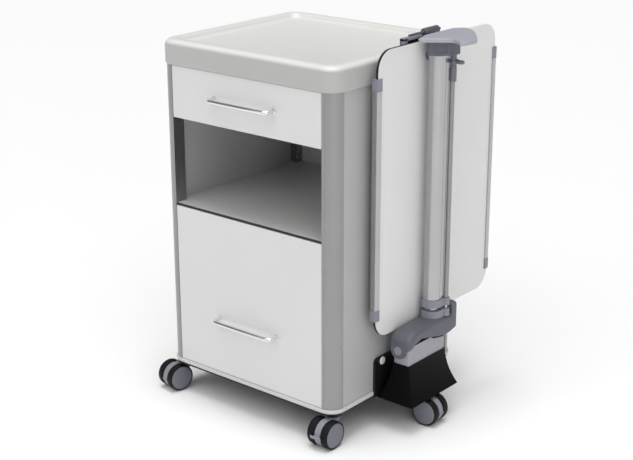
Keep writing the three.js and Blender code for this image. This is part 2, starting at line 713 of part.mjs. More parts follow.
// ---- Head: collar, wing plate and release lever ----
function head() {
  const spigot = prismZ(columnOutline(-sleeveWall - gap), collarBottom - 16, collarBottom + 1);
  const block = prismZ(polygon([
    [sleeveX, sleeveY + 2], [sleeveX + 5, sleeveY - 11], [tubeX + 8, sleeveY + 19], [tubeX + 12, sleeveY + 28],
    [tubeX + 12, fittingY + 6], [tubeX + 6, fittingY + 9], [sleeveX, fittingY + 9],
  ]), collarBottom, collarTop);
  add('head_collar', block.add(spigot), darkGreyPlastic);

  const wingBottom = collarTop + gap;
  const outline = polygon([
    [12, 203], [30, 217], [66, 246], [82, 236], [97, 224], [103, 240], [106, 268], [89, 293],
    [58, 332], [36, 352], [18, 358], [6, 352], [0, 338], [0, 240],
  ].map(([out, y]) => [armLeft + out, y]));
  const bevel = 1.6;
  const wing = new THREE.ExtrudeGeometry(outline, { depth: wingThickness - 2 * bevel, bevelEnabled: true,
    bevelThickness: bevel, bevelSize: bevel, bevelOffset: -bevel, bevelSegments: 2 });
  wing.translate(0, 0, wingBottom + bevel);
  add('wing_plate', solid(wing), lightGreyPlastic);

  const leverBottom = fittingTop + 3;
  const leverTop = leverBottom + 8;
  const discRadius = 9.5;
  const discY = sleeveY + sleeveDepth + gap + discRadius;
  const disc = rod('z', [tubeX, discY], discRadius, leverBottom, leverTop, 8);
  const paddle = prismZ(roundedRect(tubeX + 2, tubeX + 23, discY - 7, discY + 7, [1, 6, 6, 1]),
    leverBottom + 1, leverTop - 1, 4);
  const bore = rod('z', [tubeX, fittingY], neckRadius + 2 * gap, leverBottom - 1, leverTop + 1, 8);
  add('release_lever', disc.add(paddle).subtract(bore), greyPlastic);
}

// ---- Board with its edge rails, caps and hinge ----
function board() {
  const inner = boardOuterX - boardThickness;
  const slab = prismX(roundedRect(boardFront, boardRear, boardBottom, boardTop, boardCorner), inner,
    boardOuterX, 8);
  add('table_board', slab, tabletopLaminate);

  const section = (edgeY, direction, grow) => {
    const [y0, y1] = [edgeY - direction * (railWrap + grow), edgeY + direction * (railLap + grow)];
    const [low, high] = [Math.min(y0, y1), Math.max(y0, y1)];
    return { low, high, x0: inner - railCabinetSide - grow, x1: boardOuterX + railOuterSide + grow };
  };
  const channel = (edgeY, direction, grow, z0, z1) => {
    const { low, high, x0, x1 } = section(edgeY, direction, grow);
    const body = prismZ(roundedRect(x0, x1, low, high, 2.2), z0, z1, 2);
    const slotEnd = edgeY + direction * 100;
    const slotStart = edgeY - direction * gap;
    return body.subtract(box(inner - gap, boardOuterX + gap, Math.min(slotStart, slotEnd),
      Math.max(slotStart, slotEnd), z0 - 1, z1 + 1));
  };
  for (const [label, edgeY, direction] of [['front', boardFront, 1], ['rear', boardRear, -1]]) {
    add(`${label}_rail`, channel(edgeY, direction, 0, railBottom + gap, railTop - gap), aluminium);
    add(`${label}_rail_top_cap`, channel(edgeY, direction, 0.5, railTop, railTop + railCapHeight),
      lightGreyPlastic);
    add(`${label}_rail_bottom_cap`, channel(edgeY, direction, 0.5, railBottom - railCapHeight, railBottom),
      lightGreyPlastic);
  }

  const hub = rod('x', [boardPivotY, boardPivotZ], hubRadius, boardOuterX + gap, sleeveX - gap, 10);
  add('board_hub', hub, darkGreyPlastic);
  const strapFront = 190;
  const strapRear = 250;
  const strapLeft = inner - 12;
  const strapTop = hingeZ - 1;
  const strap = box(strapLeft, inner - gap, strapFront, strapRear, boardTop - 14, strapTop);
  const window = box(strapLeft + 2.5, inner + 1, strapFront + 11, strapRear - 3, boardTop - 11, strapTop - 4);
  const reach = box(strapLeft - 1, strapLeft + 4, strapRear - 6, strapRear + 24, hingeZ - 10, hingeZ);
  const barrel = rod('y', [hingeX, hingeZ], hingeBarrelRadius, strapRear + 16, strapRear + 64, 8);
  const pivot = rod('y', [hingeX, hingeZ], 3, strapFront + 28, strapRear + 106, 6);
  add('hinge_strap', strap.subtract(window).add(reach).add(barrel).add(pivot), greyPlastic);
}

shell();
shelves();
topTray();
base();
castorsAndBrakes();
drawers();
sideBracket();
skirt();
tablePost();
tiltArm();
column();
head();
board();

// The origin is the middle of the cabinet's bounding box, on the floor.
const bounds = new THREE.Box3().setFromObject(cabinet);
const middle = bounds.getCenter(new THREE.Vector3());
const group = new THREE.Group();
cabinet.position.set(-middle.x, -middle.y, -bounds.min.z);
group.add(cabinet);
group.updateMatrixWorld(true);

export default group;
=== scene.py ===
# %% [markdown]
# A hospital bedside cabinet: a white box between four aluminium posts, on four castors, with a
# folded overbed table on a telescopic column at its right side, and a fifth castor under the
# column's bracket. The moving bodies already exist as exact CAD parts. Each cell below gives
# one part its real surface and hangs it on its body, so the joints carry it along.

# %% Load the frame
import json
from math import asin, atan2, cos, pi, radians, sin

import bmesh
import bpy
from mathutils import Matrix, Vector


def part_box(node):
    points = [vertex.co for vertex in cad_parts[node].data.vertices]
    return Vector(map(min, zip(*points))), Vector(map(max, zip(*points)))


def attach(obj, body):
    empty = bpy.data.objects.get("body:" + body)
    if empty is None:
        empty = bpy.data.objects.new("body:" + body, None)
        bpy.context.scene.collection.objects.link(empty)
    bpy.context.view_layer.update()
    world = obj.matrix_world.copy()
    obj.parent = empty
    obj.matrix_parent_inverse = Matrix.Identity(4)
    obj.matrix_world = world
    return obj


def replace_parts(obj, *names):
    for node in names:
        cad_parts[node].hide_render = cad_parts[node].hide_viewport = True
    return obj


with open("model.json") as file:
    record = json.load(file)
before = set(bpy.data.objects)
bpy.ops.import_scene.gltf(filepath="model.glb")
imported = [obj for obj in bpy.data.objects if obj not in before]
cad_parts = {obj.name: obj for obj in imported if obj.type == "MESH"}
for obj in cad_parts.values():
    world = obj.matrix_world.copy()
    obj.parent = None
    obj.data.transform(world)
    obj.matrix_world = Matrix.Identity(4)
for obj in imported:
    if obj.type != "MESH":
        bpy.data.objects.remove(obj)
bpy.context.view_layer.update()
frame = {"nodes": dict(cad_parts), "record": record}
joints = {joint["name"]: joint for joint in frame["record"]["behaviour"]["joints"]}

# %% [markdown]
# Every shape is drawn in millimetres from the lower left front corner of the fronts, which is
# how a cabinet maker would measure it. Blender works in metres, so one function turns its
# places into millimetres, and another reads where a CAD part begins and ends. Sizes that come
# from the CAD parts, instead of being typed again, stay true when a part is changed.

# %% Millimetres and the drawing's corner
MM = 0.001
REVEAL = 0.6
front_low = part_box("lower_drawer_front")[0]
corner_of_fronts = Vector((front_low[0] - REVEAL * MM, front_low[1], 0))


def drawn(point):
    """A point of the row frame, in metres, as drawn in millimetres."""
    return (Vector(point) - corner_of_fronts) / MM


def extent(node):
    """Lowest and highest corners of a CAD node, in drawing millimetres."""
    low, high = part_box(node)
    return drawn(low), drawn(high)


def joint_point(name):
    return drawn(joints[name]["pos_m"])


print("overall height", round(extent("hinge_strap")[1].z, 1), "mm")

# %% [markdown]
# Plastic, laminate and metal share four surface effects: fine grain, handling, drawn lines and a
# facing-up mask that paints shade on upright faces. They could be drawn again inside every
# material. Instead each is one shader node group with named sockets, so a material sets its own
# strength and nothing is built twice. The first helper makes the empty group.

# %% An empty effect
def effect(name, inputs, outputs):
    """An empty shader node group, with its group input and output nodes."""
    group = bpy.data.node_groups.new(name, "ShaderNodeTree")
    for socket, default in inputs.items():
        made = group.interface.new_socket(socket, in_out="INPUT", socket_type="NodeSocketFloat")
        made.default_value = default
    for socket in outputs:
        group.interface.new_socket(socket, in_out="OUTPUT", socket_type="NodeSocketFloat")
    nodes = group.nodes
    return group, nodes.new("NodeGroupInput"), nodes.new("NodeGroupOutput")


print("an effect has named sockets and puts out values only")

# %% [markdown]
# Fine grain is the slight tooth that a mould or a press leaves: a fine noise, read as height.
# Handling is the wide, faint unevenness of a wiped surface. A coarse noise is stretched to run
# from none to full, so it can mix two colours or two degrees of gloss.

# %% Grain and handling
def fine_grain():
    group, given, out = effect("fine_grain", {"Scale": 900.0}, ["Height"])
    nodes, links = group.nodes, group.links
    place = nodes.new("ShaderNodeTexCoord")
    noise = nodes.new("ShaderNodeTexNoise")
    noise.inputs["Detail"].default_value = 3
    links.new(place.outputs["Object"], noise.inputs["Vector"])
    links.new(given.outputs["Scale"], noise.inputs["Scale"])
    links.new(noise.outputs["Fac"], out.inputs["Height"])
    return group


def handling():
    group, given, out = effect("handling", {"Scale": 9.0}, ["Mask"])
    nodes, links = group.nodes, group.links
    place = nodes.new("ShaderNodeTexCoord")
    noise = nodes.new("ShaderNodeTexNoise")
    noise.inputs["Detail"].default_value = 5
    noise.inputs["Roughness"].default_value = 0.62
    spread = nodes.new("ShaderNodeMapRange")
    spread.inputs["From Min"].default_value = 0.32
    spread.inputs["From Max"].default_value = 0.68
    links.new(place.outputs["Object"], noise.inputs["Vector"])
    links.new(given.outputs["Scale"], noise.inputs["Scale"])
    links.new(noise.outputs["Fac"], spread.inputs["Value"])
    links.new(spread.outputs["Result"], out.inputs["Mask"])
    return group


GRAIN, HANDLING = fine_grain(), handling()
print("effects:", GRAIN.name, HANDLING.name)

# %% [markdown]
# An extrusion is pulled through a die, which leaves fine lines along its length. The noise here
# is squeezed along Z, so it draws out into such lines. The facing-up mask comes from the direction
# of each face and paints shade: upright faces of a moulding take a greyer colour than its level
# faces, as if less light fell on them.

# %% Drawn lines and painted shade by facing
def drawn_lines():
    group, given, out = effect("drawn_lines", {"Scale": 1400.0, "Stretch": 0.01}, ["Height"])
    nodes, links = group.nodes, group.links
    place = nodes.new("ShaderNodeTexCoord")
    axes = nodes.new("ShaderNodeSeparateXYZ")
    along = nodes.new("ShaderNodeMath")
    along.operation = "MULTIPLY"
    joined = nodes.new("ShaderNodeCombineXYZ")
    noise = nodes.new("ShaderNodeTexNoise")
    noise.inputs["Detail"].default_value = 2
    links.new(place.outputs["Object"], axes.inputs[0])
    links.new(axes.outputs["X"], joined.inputs["X"])
    links.new(axes.outputs["Y"], joined.inputs["Y"])
    links.new(axes.outputs["Z"], along.inputs[0])
    links.new(given.outputs["Stretch"], along.inputs[1])
    links.new(along.outputs[0], joined.inputs["Z"])
    links.new(joined.outputs[0], noise.inputs["Vector"])
    links.new(given.outputs["Scale"], noise.inputs["Scale"])
    links.new(noise.outputs["Fac"], out.inputs["Height"])
    return group


# Painted shade: this mask greys the upright faces, as if less light fell on them than on level faces.
def painted_shade_by_facing():
    group, given, out = effect("painted_shade_by_facing", {"Low": 0.15, "High": 0.8}, ["Mask"])
    nodes, links = group.nodes, group.links
    shape = nodes.new("ShaderNodeNewGeometry")
    axes = nodes.new("ShaderNodeSeparateXYZ")
    spread = nodes.new("ShaderNodeMapRange")
    spread.interpolation_type = "SMOOTHSTEP"
    links.new(shape.outputs["Normal"], axes.inputs[0])
    links.new(axes.outputs["Z"], spread.inputs["Value"])
    links.new(given.outputs["Low"], spread.inputs["From Min"])
    links.new(given.outputs["High"], spread.inputs["From Max"])
    links.new(spread.outputs["Result"], out.inputs["Mask"])
    return group


LINES, PAINTED_SHADE_BY_FACING = drawn_lines(), painted_shade_by_facing()
print("effects:", LINES.name, PAINTED_SHADE_BY_FACING.name)

# %% [markdown]
# A finish joins a base colour that drifts a little with the handling mask, a roughness that
# drifts with it, and a bump from grain or drawn lines. Where an upright colour is given, it paints
# shade: upright faces take that greyer colour. What is the same all over, such as metalness or the
# coat, is typed straight into the shader, where an export can find it.

# %% How a finish is made
def finish(name, colour, rough, drift=0.03, metal=0.0, texture=GRAIN, scale=900.0, depth=0.02,
           coat=0.0, rough_drift=0.06, specular=0.5, upright=None):
    look = bpy.data.materials.new(name)
    look["slot"] = name
    look.use_nodes = True
    nodes, links = look.node_tree.nodes, look.node_tree.links
    shader = nodes["Principled BSDF"]
    shader.inputs["Metallic"].default_value = metal
    shader.inputs["Coat Weight"].default_value = coat
    shader.inputs["Coat Roughness"].default_value = 0.2
    shader.inputs["Specular IOR Level"].default_value = specular
    wiped = nodes.new("ShaderNodeGroup")
    wiped.node_tree = HANDLING
    mix = nodes.new("ShaderNodeMix")
    mix.data_type = "RGBA"
    mix.inputs[6].default_value = (*[c * (1 - drift) for c in colour], 1)
    mix.inputs[7].default_value = (*colour, 1)
    dull = nodes.new("ShaderNodeMapRange")
    dull.inputs["To Min"].default_value = rough + rough_drift / 2
    dull.inputs["To Max"].default_value = rough - rough_drift / 2
    tooth = nodes.new("ShaderNodeGroup")
    tooth.node_tree = texture
    tooth.inputs["Scale"].default_value = scale
    bump = nodes.new("ShaderNodeBump")
    bump.inputs["Strength"].default_value = depth
    bump.inputs["Distance"].default_value = 0.001
    links.new(wiped.outputs["Mask"], mix.inputs["Factor"])
    shown = mix.outputs[2]
    # Painted shade: upright faces get the greyer upright colour, level faces keep the base colour.
    if upright:
        level = nodes.new("ShaderNodeGroup")
        level.node_tree = PAINTED_SHADE_BY_FACING
        turn = nodes.new("ShaderNodeMix")
        turn.data_type = "RGBA"
        turn.inputs[6].default_value = (*upright, 1)
        links.new(level.outputs["Mask"], turn.inputs["Factor"])
        links.new(shown, turn.inputs[7])
        shown = turn.outputs[2]
    links.new(shown, shader.inputs["Base Color"])
    links.new(wiped.outputs["Mask"], dull.inputs["Value"])
    links.new(dull.outputs["Result"], shader.inputs["Roughness"])
    links.new(tooth.outputs["Height"], bump.inputs["Height"])
    links.new(bump.outputs["Normal"], shader.inputs["Normal"])
    return look


print("a finish is one material with its own slot name")

# %% [markdown]
# White melamine, a side laminate made greyer as painted shade, moulded plastic, anodised posts,
# chrome and black steel. One flat colour would look like bare paint, so each has its own grain
# size, drift and gloss. The tray's upright faces take a greyer colour, also painted shade, and a
# near-black finish is painted shadow in the dark slot and recess. The posts are duller and darker
# than the column of the table.

# %% Finishes of the cabinet
WHITE = finish("white_laminate", (0.715, 0.715, 0.712), 0.42, 0.015, scale=500, depth=0.05)
# Painted shade: the side panels are the white laminate in a greyer colour, for the shade that falls on
# them.
SIDE_PAINTED_SHADE = finish("side_laminate_painted_shade", (0.47, 0.47, 0.467), 0.46, 0.015, scale=500, depth=0.05)
SHELF = finish("shelf_laminate", (0.50, 0.50, 0.497), 0.42, 0.015, scale=500, depth=0.05)
PLUG = finish("white_plug", (0.85, 0.85, 0.85), 0.35, 0.01)
# Painted shade: the upright colour greys the tray's upright faces against its brighter top.
TRAY = finish("tray_plastic", (0.77, 0.765, 0.745), 0.40, 0.03, scale=700, depth=0.08, coat=0.1,
              upright=(0.47, 0.47, 0.462))
BASE = finish("base_plastic", (0.62, 0.62, 0.62), 0.42, 0.04, scale=700, depth=0.06)
TUB = finish("drawer_plastic", (0.60, 0.60, 0.61), 0.5, 0.04, scale=700, depth=0.1)
POST = finish("post_aluminium", (0.32, 0.32, 0.325), 0.30, 0.03, 0.9, LINES, depth=0.12)
ZINC = finish("zinc_steel", (0.60, 0.61, 0.63), 0.34, 0.08, 1.0)
CHROME = finish("chrome", (0.82, 0.82, 0.83), 0.09, 0.02, 1.0, depth=0.0, rough_drift=0.04)
DARK_STEEL = finish("dark_steel", (0.010, 0.010, 0.0105), 0.42, 0.2, scale=1600, depth=0.2,
                    specular=0.35)
# Painted shadow: a near-black finish for the dark vent slot and the hinge recess.
SHADOW = finish("painted_shadow_dark", (0.006, 0.006, 0.006), 0.8, 0.1)
print(len(bpy.data.materials), "materials so far")

# %% [markdown]
# The board is compact laminate with a black core. The column is brighter aluminium, and the
# mouldings on it come in four greys, from the pale wing plate to the dark collar and arm. Black
# plastic and rubber get a low specular level, or they would mirror the pale floor and turn
# grey.

# %% Finishes of the table and the castors
TABLE = finish("table_laminate", (0.78, 0.78, 0.775), 0.38, 0.02, scale=450, depth=0.06)
CORE = finish("laminate_core", (0.022, 0.021, 0.021), 0.5, 0.2, specular=0.3)
ALUMINIUM = finish("anodised_aluminium", (0.46, 0.46, 0.465), 0.24, 0.03, 1.0, LINES, depth=0.12)
POST_PAINT = finish("powder_steel", (0.36, 0.36, 0.385), 0.4, 0.03, 0.3, scale=1600, depth=0.15)
SPRING = finish("spring_paint", (0.30, 0.305, 0.32), 0.35, metal=0.4)
GREY = finish("grey_plastic", (0.175, 0.18, 0.215), 0.46, 0.06, scale=1300, depth=0.16)
WING = finish("wing_plastic", (0.40, 0.41, 0.465), 0.42, 0.04, scale=1300, depth=0.16)
LILAC = finish("light_grey_plastic", (0.25, 0.255, 0.30), 0.45, 0.05, scale=1300, depth=0.16)
DARK_GREY = finish("dark_grey_plastic", (0.112, 0.118, 0.144), 0.46, 0.06, scale=1300, depth=0.16)
BLACK = finish("black_plastic", (0.0035, 0.0035, 0.004), 0.42, 0.2, scale=1300, depth=0.2,
               specular=0.06)
RUBBER = finish("tyre_rubber", (0.006, 0.006, 0.0065), 0.6, 0.25, scale=900, depth=0.25,
                specular=0.2)
print(len(bpy.data.materials), "materials")

# %% [markdown]
# Most parts are an outline pushed out in one direction, or rings joined by a skin. Ready-made
# cubes and cylinders could be stretched into them, but their corners and grooves would then
# need many cuts. One function stretches faces over rings with equally many points, and the
# others here call it.

# %% Rings and skins
def skin(rings, loop=False):
    """Vertices and faces stretched over rings; the ends are capped, or joined if loop is set."""
    count = len(rings[0])
    points = [point for ring in rings for point in ring]
    faces = []
    for r in range(len(rings) if loop else len(rings) - 1):
        a, b = r * count, (r + 1) % len(rings) * count
        faces += [(a + i, a + (i + 1) % count, b + (i + 1) % count, b + i) for i in range(count)]
    if not loop:
        faces += [tuple(range(count)), tuple(range(len(points) - count, len(points)))]
    return points, faces


def along(axis, u, v, w):
    """A point with outline coordinates u, v at distance w along the axis."""
    return {"x": (w, u, v), "y": (u, w, v), "z": (u, v, w)}[axis]


def prism(outline, axis, low, high):
    return skin([[along(axis, u, v, w) for u, v in outline] for w in (low, high)])


def pipe(outer, inner, axis, low, high):
    rings = [(outer, low), (outer, high), (inner, high), (inner, low)]
    return skin([[along(axis, u, v, w) for u, v in ring] for ring, w in rings], loop=True)


def block(low, high):
    return prism([(low[0], low[1]), (high[0], low[1]), (high[0], high[1]), (low[0], high[1])],
                 "z", low[2], high[2])


def joined(*shapes):
    """Several closed shapes in one mesh."""
    points, faces = [], []
    for more_points, more_faces in shapes:
        faces += [tuple(i + len(points) for i in face) for face in more_faces]
        points += more_points
    return points, faces


print("a block has", len(block((0, 0, 0), (1, 1, 1))[1]), "faces")

# %% [markdown]
# Corners on the real parts are arcs, each with its own radius. These outlines walk round a
# rectangle or a polygon and put a short curve at every corner. A lathe shape is the same idea:
# circles of changing radius along an axis.

# %% Round outlines
def arc(u, v, radius, start, stop, steps):
    return [(u + radius * cos(start + (stop - start) * i / steps),
             v + radius * sin(start + (stop - start) * i / steps)) for i in range(steps + 1)]


def rounded(u0, u1, v0, v1, radii, steps=8):
    """A rectangle with its own radius at each corner: low-low, high-low, high-high, low-high."""
    radii = radii if isinstance(radii, (list, tuple)) else [radii] * 4
    corners = [(u0, v0, 1, 1), (u1, v0, -1, 1), (u1, v1, -1, -1), (u0, v1, 1, -1)]
    outline = []
    for (u, v, du, dv), r, quarter in zip(corners, radii, (2, 3, 0, 1)):
        r = max(r, 0.05)
        outline += arc(u + du * r, v + dv * r, r, quarter * pi / 2, (quarter + 1) * pi / 2, steps)
    return outline


def softened(corners, steps=6):
    """A polygon of (u, v, radius) with each corner rounded."""
    outline = []
    for i, (u, v, radius) in enumerate(corners):
        here = Vector((u, v))
        back = Vector(corners[i - 1][:2]) - here
        on = Vector(corners[(i + 1) % len(corners)][:2]) - here
        half = back.angle(on) / 2
        reach = min(radius / max(abs(sin(half) / cos(half)), 0.01), back.length * 0.49,
                    on.length * 0.49)
        start, stop = here + back.normalized() * reach, here + on.normalized() * reach
        for k in range(steps + 1):
            t = k / steps
            point = start * (1 - t) ** 2 + here * 2 * t * (1 - t) + stop * t * t
            outline.append((point.x, point.y))
    return outline


def turned(profile, axis, centre, steps=48):
    """A lathe shape: (radius, distance along the axis) round a centre."""
    rings = []
    for radius, w in profile:
        circle = arc(centre[0], centre[1], max(radius, 0.001), 0, 2 * pi, steps)[:-1]
        rings.append([along(axis, u, v, w) for u, v in circle])
    return skin(rings)


print("a quarter arc of 8 steps has", len(arc(0, 0, 10, 0, pi / 2, 8)), "points")

# %% [markdown]
# No moulded or sawn edge is a knife edge. A bevel modifier rounds the sharp edges and leaves
# the curves alone, so a highlight runs along each edge. The same function moves the drawing
# into the frame, gives it one or two finishes, and hangs it on its body.

# %% Pieces with rounded edges
MERGE_DISTANCE = 5e-6
COLLAPSE_DISTANCE = 1e-6
SHARP_ANGLE = radians(35)
FLAT_FACE = 0.7


def piece(name, shape, look, body, edge=0.0, turn=None, edge_look=None, flat_axis=None,
          segments=3):
    """One object from drawing millimetres, with rounded edges, riding on its body."""
    points, faces = shape
    mesh = bpy.data.meshes.new(name)
    place = turn or Matrix.Identity(4)
    mesh.from_pydata([place @ Vector(p) * MM + corner_of_fronts for p in points], [], faces)
    work = bmesh.new()
    work.from_mesh(mesh)
    bmesh.ops.remove_doubles(work, verts=work.verts, dist=MERGE_DISTANCE)
    bmesh.ops.dissolve_degenerate(work, edges=work.edges, dist=COLLAPSE_DISTANCE)
    bmesh.ops.recalc_face_normals(work, faces=work.faces)
    work.to_mesh(mesh)
    work.free()
    mesh.materials.append(look)
    if edge_look:
        mesh.materials.append(edge_look)
        for face in mesh.polygons:
            face.material_index = 0 if abs(face.normal[flat_axis]) > FLAT_FACE else 1
    mesh.shade_smooth()
    made = bpy.data.objects.new(name, mesh)
    bpy.context.scene.collection.objects.link(made)
    if edge > 0:
        soften = made.modifiers.new("rounded_edges", "BEVEL")
        soften.width = edge * MM
        soften.segments = segments
        soften.limit_method = "ANGLE"
        soften.angle_limit = SHARP_ANGLE
        soften.harden_normals = True
    else:
        mesh.set_sharp_from_angle(angle=SHARP_ANGLE)
    if body:
        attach(made, body)
    return made


print("edges sharper than", round(SHARP_ANGLE * 180 / pi), "degrees are rounded")

# %% [markdown]
# Some mouldings need a window, a hollow or an added lug. A boolean does that, and it is worked
# out before the bevel, so the new edges are rounded like the old ones. CAD parts whose shape is
# right keep it. They get a weld, a narrow bevel and a finish.

# %% Cutting and easing
CAD_WELD = 1e-5
CAD_SHARP_ANGLE = radians(40)


def cut(made, shape, operation="DIFFERENCE"):
    """Cuts a shape out of a piece, or adds it, before its edges are rounded."""
    points, faces = shape
    tool = piece(made.name + "_tool", shape, made.data.materials[0], None)
    change = made.modifiers.new("cut", "BOOLEAN")
    change.operation = operation
    change.object = tool
    change.solver = "EXACT"
    made.modifiers.move(len(made.modifiers) - 1, 0)
    bpy.context.view_layer.update()
    shaped = bpy.data.meshes.new_from_object(boolean_only(made))
    made.modifiers.remove(made.modifiers[0])
    restore(made)
    made.data = shaped
    bpy.data.objects.remove(tool)


def boolean_only(made):
    """The piece as its first modifier leaves it."""
    for modifier in list(made.modifiers)[1:]:
        modifier.show_viewport = False
    bpy.context.view_layer.update()
    return made.evaluated_get(bpy.context.evaluated_depsgraph_get())


def restore(made):
    for modifier in made.modifiers:
        modifier.show_viewport = True


def plain_node(node, look, edge=0.4):
    """A CAD node whose shape is right: it stays, with its edges eased and a proper finish."""
    made = frame["nodes"][node]
    made.data.materials.clear()
    made.data.materials.append(look)
    weld = made.modifiers.new("weld", "WELD")
    weld.merge_threshold = CAD_WELD
    soften = made.modifiers.new("rounded_edges", "BEVEL")
    soften.width = edge * MM
    soften.segments = 2
    soften.limit_method = "ANGLE"
    soften.angle_limit = CAD_SHARP_ANGLE
    return made


print("CAD edges sharper than", round(CAD_SHARP_ANGLE * 180 / pi), "degrees are eased")

# %% [markdown]
# The carcass. Melamine panels stand between four aluminium quarter-round posts. The fronts have
# a soft pressed edge, so they get a wider bevel than the panels, and it catches a line of
# light.

# %% Panels and fronts
PANEL_EDGE = 0.8
FRONT_EDGE = 1.4

for node in ("left_side_panel", "right_side_panel", "rear_panel"):
    low, high = extent(node)
    # The side panels take the greyer laminate, which is painted shade; the rear panel stays white.
    look = WHITE if node == "rear_panel" else SIDE_PAINTED_SHADE
    board = piece(node + "_board", block(low, high), look, "cabinet", PANEL_EDGE)
    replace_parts(board, node)
for drawer in ("top_drawer", "lower_drawer"):
    low, high = extent(drawer + "_front")
    board = piece(drawer + "_front_board", block(low, high), WHITE, drawer, FRONT_EDGE,
                  segments=4)
    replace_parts(board, drawer + "_front")
print("fronts", [round(v, 1) for v in extent("lower_drawer_front")[1]])

# %% [markdown]
# Both boards pass between the posts, so they need a notch round each. The notches could be cut
# out, but an outline with them drawn in is cleaner. The shelf is thin compact laminate: light
# grey faces and a black core along its edge, so its edge faces take a second finish.

# %% Shelf and divider
POST_CLEARANCE = 0.3


def notched(node, name, look, edge_look=None):
    """A level board with a notch round each post."""
    low, high = extent(node)
    post_low, post_high = extent("front_left_post")
    right_post = extent("front_right_post")[0].x
    rear_post = extent("rear_left_post")[0].y
    left, right = post_high.x + POST_CLEARANCE, right_post - POST_CLEARANCE
    near, far = post_high.y + POST_CLEARANCE, rear_post - POST_CLEARANCE
    outline = [(left, low.y), (right, low.y), (right, near), (high.x, near), (high.x, far),
               (right, far), (right, high.y), (left, high.y), (left, far), (low.x, far),
               (low.x, near), (left, near)]
    made = piece(name, prism(outline, "z", low.z, high.z), look, "cabinet", 0.4,
                 edge_look=edge_look, flat_axis=2)
    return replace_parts(made, node)


notched("shelf", "shelf_board", SHELF, CORE)
notched("drawer_divider", "divider_board", WHITE)
print("shelf top at", round(extent("shelf")[1].z, 1), "mm")

# %% [markdown]
# The posts are extrusions with two fine grooves where the panels meet the round. A bump would
# only pretend them. An outline with the grooves drawn in, pushed up, gives real grooves that
# catch light at any angle.

# %% Corner posts
ARC_STEPS = 60
GROOVE_DEPTH = 0.9
GROOVE_HALF_ANGLE = 0.028
GROOVE_ANGLE = 0.16


def post_outline(low, high, side_x, side_y):
    radius = high.x - low.x
    corner = (low.x if side_x > 0 else high.x, low.y if side_y > 0 else high.y)
    outline = [corner]
    for i in range(ARC_STEPS + 1):
        angle = pi / 2 * i / ARC_STEPS
        off = min(abs(angle - GROOVE_ANGLE), abs(angle - (pi / 2 - GROOVE_ANGLE)))
        r = radius - (GROOVE_DEPTH if off < GROOVE_HALF_ANGLE else 0)
        outline.append((corner[0] + side_x * r * cos(angle), corner[1] + side_y * r * sin(angle)))
    return outline


for name, side_x, side_y in (("front_left", -1, -1), ("front_right", 1, -1),
                             ("rear_left", -1, 1), ("rear_right", 1, 1)):
    low, high = extent(name + "_post")
    shape = prism(post_outline(low, high, side_x, side_y), "z", low.z, high.z)
    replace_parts(piece(name + "_post_extrusion", shape, POST, "cabinet", 0.25, segments=2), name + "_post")
print("posts", round(high.z - low.z, 1), "mm tall")

# %% [markdown]
# The top is one moulding: a full round outside edge, a raised rim, a slope with soft bends and
# a sunk floor. A ring of points is stepped through that profile, and its corner radius shrinks
# as it moves in, which is how a real tool is drawn.

# %% Tray top
low, high = extent("top_tray")
CORNER = 34.0
EDGE_ROUND = 13.0
FLOOR_DEPTH = 9.0
RIM_WIDTH, SLOPE_WIDTH = 25, 11
EDGE_STEPS, SLOPE_STEPS = 12, 8


def tray_ring(inset, z):
    radius = CORNER - inset * 0.5
    return [(x, y, z) for x, y in rounded(low.x + inset, high.x - inset, low.y + inset,
                                          high.y - inset, radius, 18)]


profile = [(38, high.z - FLOOR_DEPTH - 4), (38, low.z + 1), (37, low.z), (1.5, low.z),
           (0, low.z + 1.5)]
for i in range(EDGE_STEPS + 1):
    angle = pi / 2 * i / EDGE_STEPS
    profile.append((EDGE_ROUND * (1 - cos(angle)), high.z - EDGE_ROUND * (1 - sin(angle))))
for i in range(SLOPE_STEPS + 1):
    t = i / SLOPE_STEPS
    profile.append((RIM_WIDTH + SLOPE_WIDTH * t, high.z - FLOOR_DEPTH * (3 * t * t - 2 * t ** 3)))
tray = piece("tray_moulding", skin([tray_ring(*ring) for ring in profile]), TRAY, "cabinet")
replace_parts(tray, "top_tray")
print("tray rings", len(profile))

# %% [markdown]
# The base is a light moulded plate with a rounded lip over a dark steel frame. The plate is
# notched where the side bracket passes. The notch is put into the outline, between two of its
# points, so the bevel rounds it as well.

# %% Base plate and frame
low, high = extent("base_plate")
bracket_low, bracket_high = extent("side_bracket")
NOTCH_CLEAR = 0.6
STEEL_CORNER = 31
ring = rounded(low.x, high.x, low.y, high.y, CORNER, 14)
at = next(i for i, (x, y) in enumerate(ring) if x > high.x - 0.01 and y > bracket_high.y)
notch_x = bracket_low.x - 0.3
notch = [(high.x, bracket_low.y - NOTCH_CLEAR), (notch_x, bracket_low.y - NOTCH_CLEAR),
         (notch_x, bracket_high.y + NOTCH_CLEAR), (high.x, bracket_high.y + NOTCH_CLEAR)]
plate = piece("base_moulding", prism(ring[:at] + notch + ring[at:], "z", low.z, high.z), BASE,
              "cabinet", 2.4, segments=4)
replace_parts(plate, "base_plate")
low, high = extent("base_frame")
steel_plan = rounded(low.x, high.x, low.y, high.y, STEEL_CORNER, 14)
sheet = piece("base_steel", prism(steel_plan, "z", low.z, high.z), DARK_STEEL, "cabinet", 0.3)
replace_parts(sheet, "base_frame")
print("base frame", round(high.x - low.x), "x", round(high.y - low.y))

# %% [markdown]
# A twin-wheel castor has two rubber treads with domed side discs. Both are lathe shapes, so
# each is a list of radius and distance along the axle. The tread has a flat run, soft shoulders
# and a step where the disc sits in it.

# %% Wheel profiles
WHEEL_RADIUS = 30.0
DISC_RADIUS = 27.0
TREAD = (9.0, 27.0)
STEM_LENGTH = 9.0


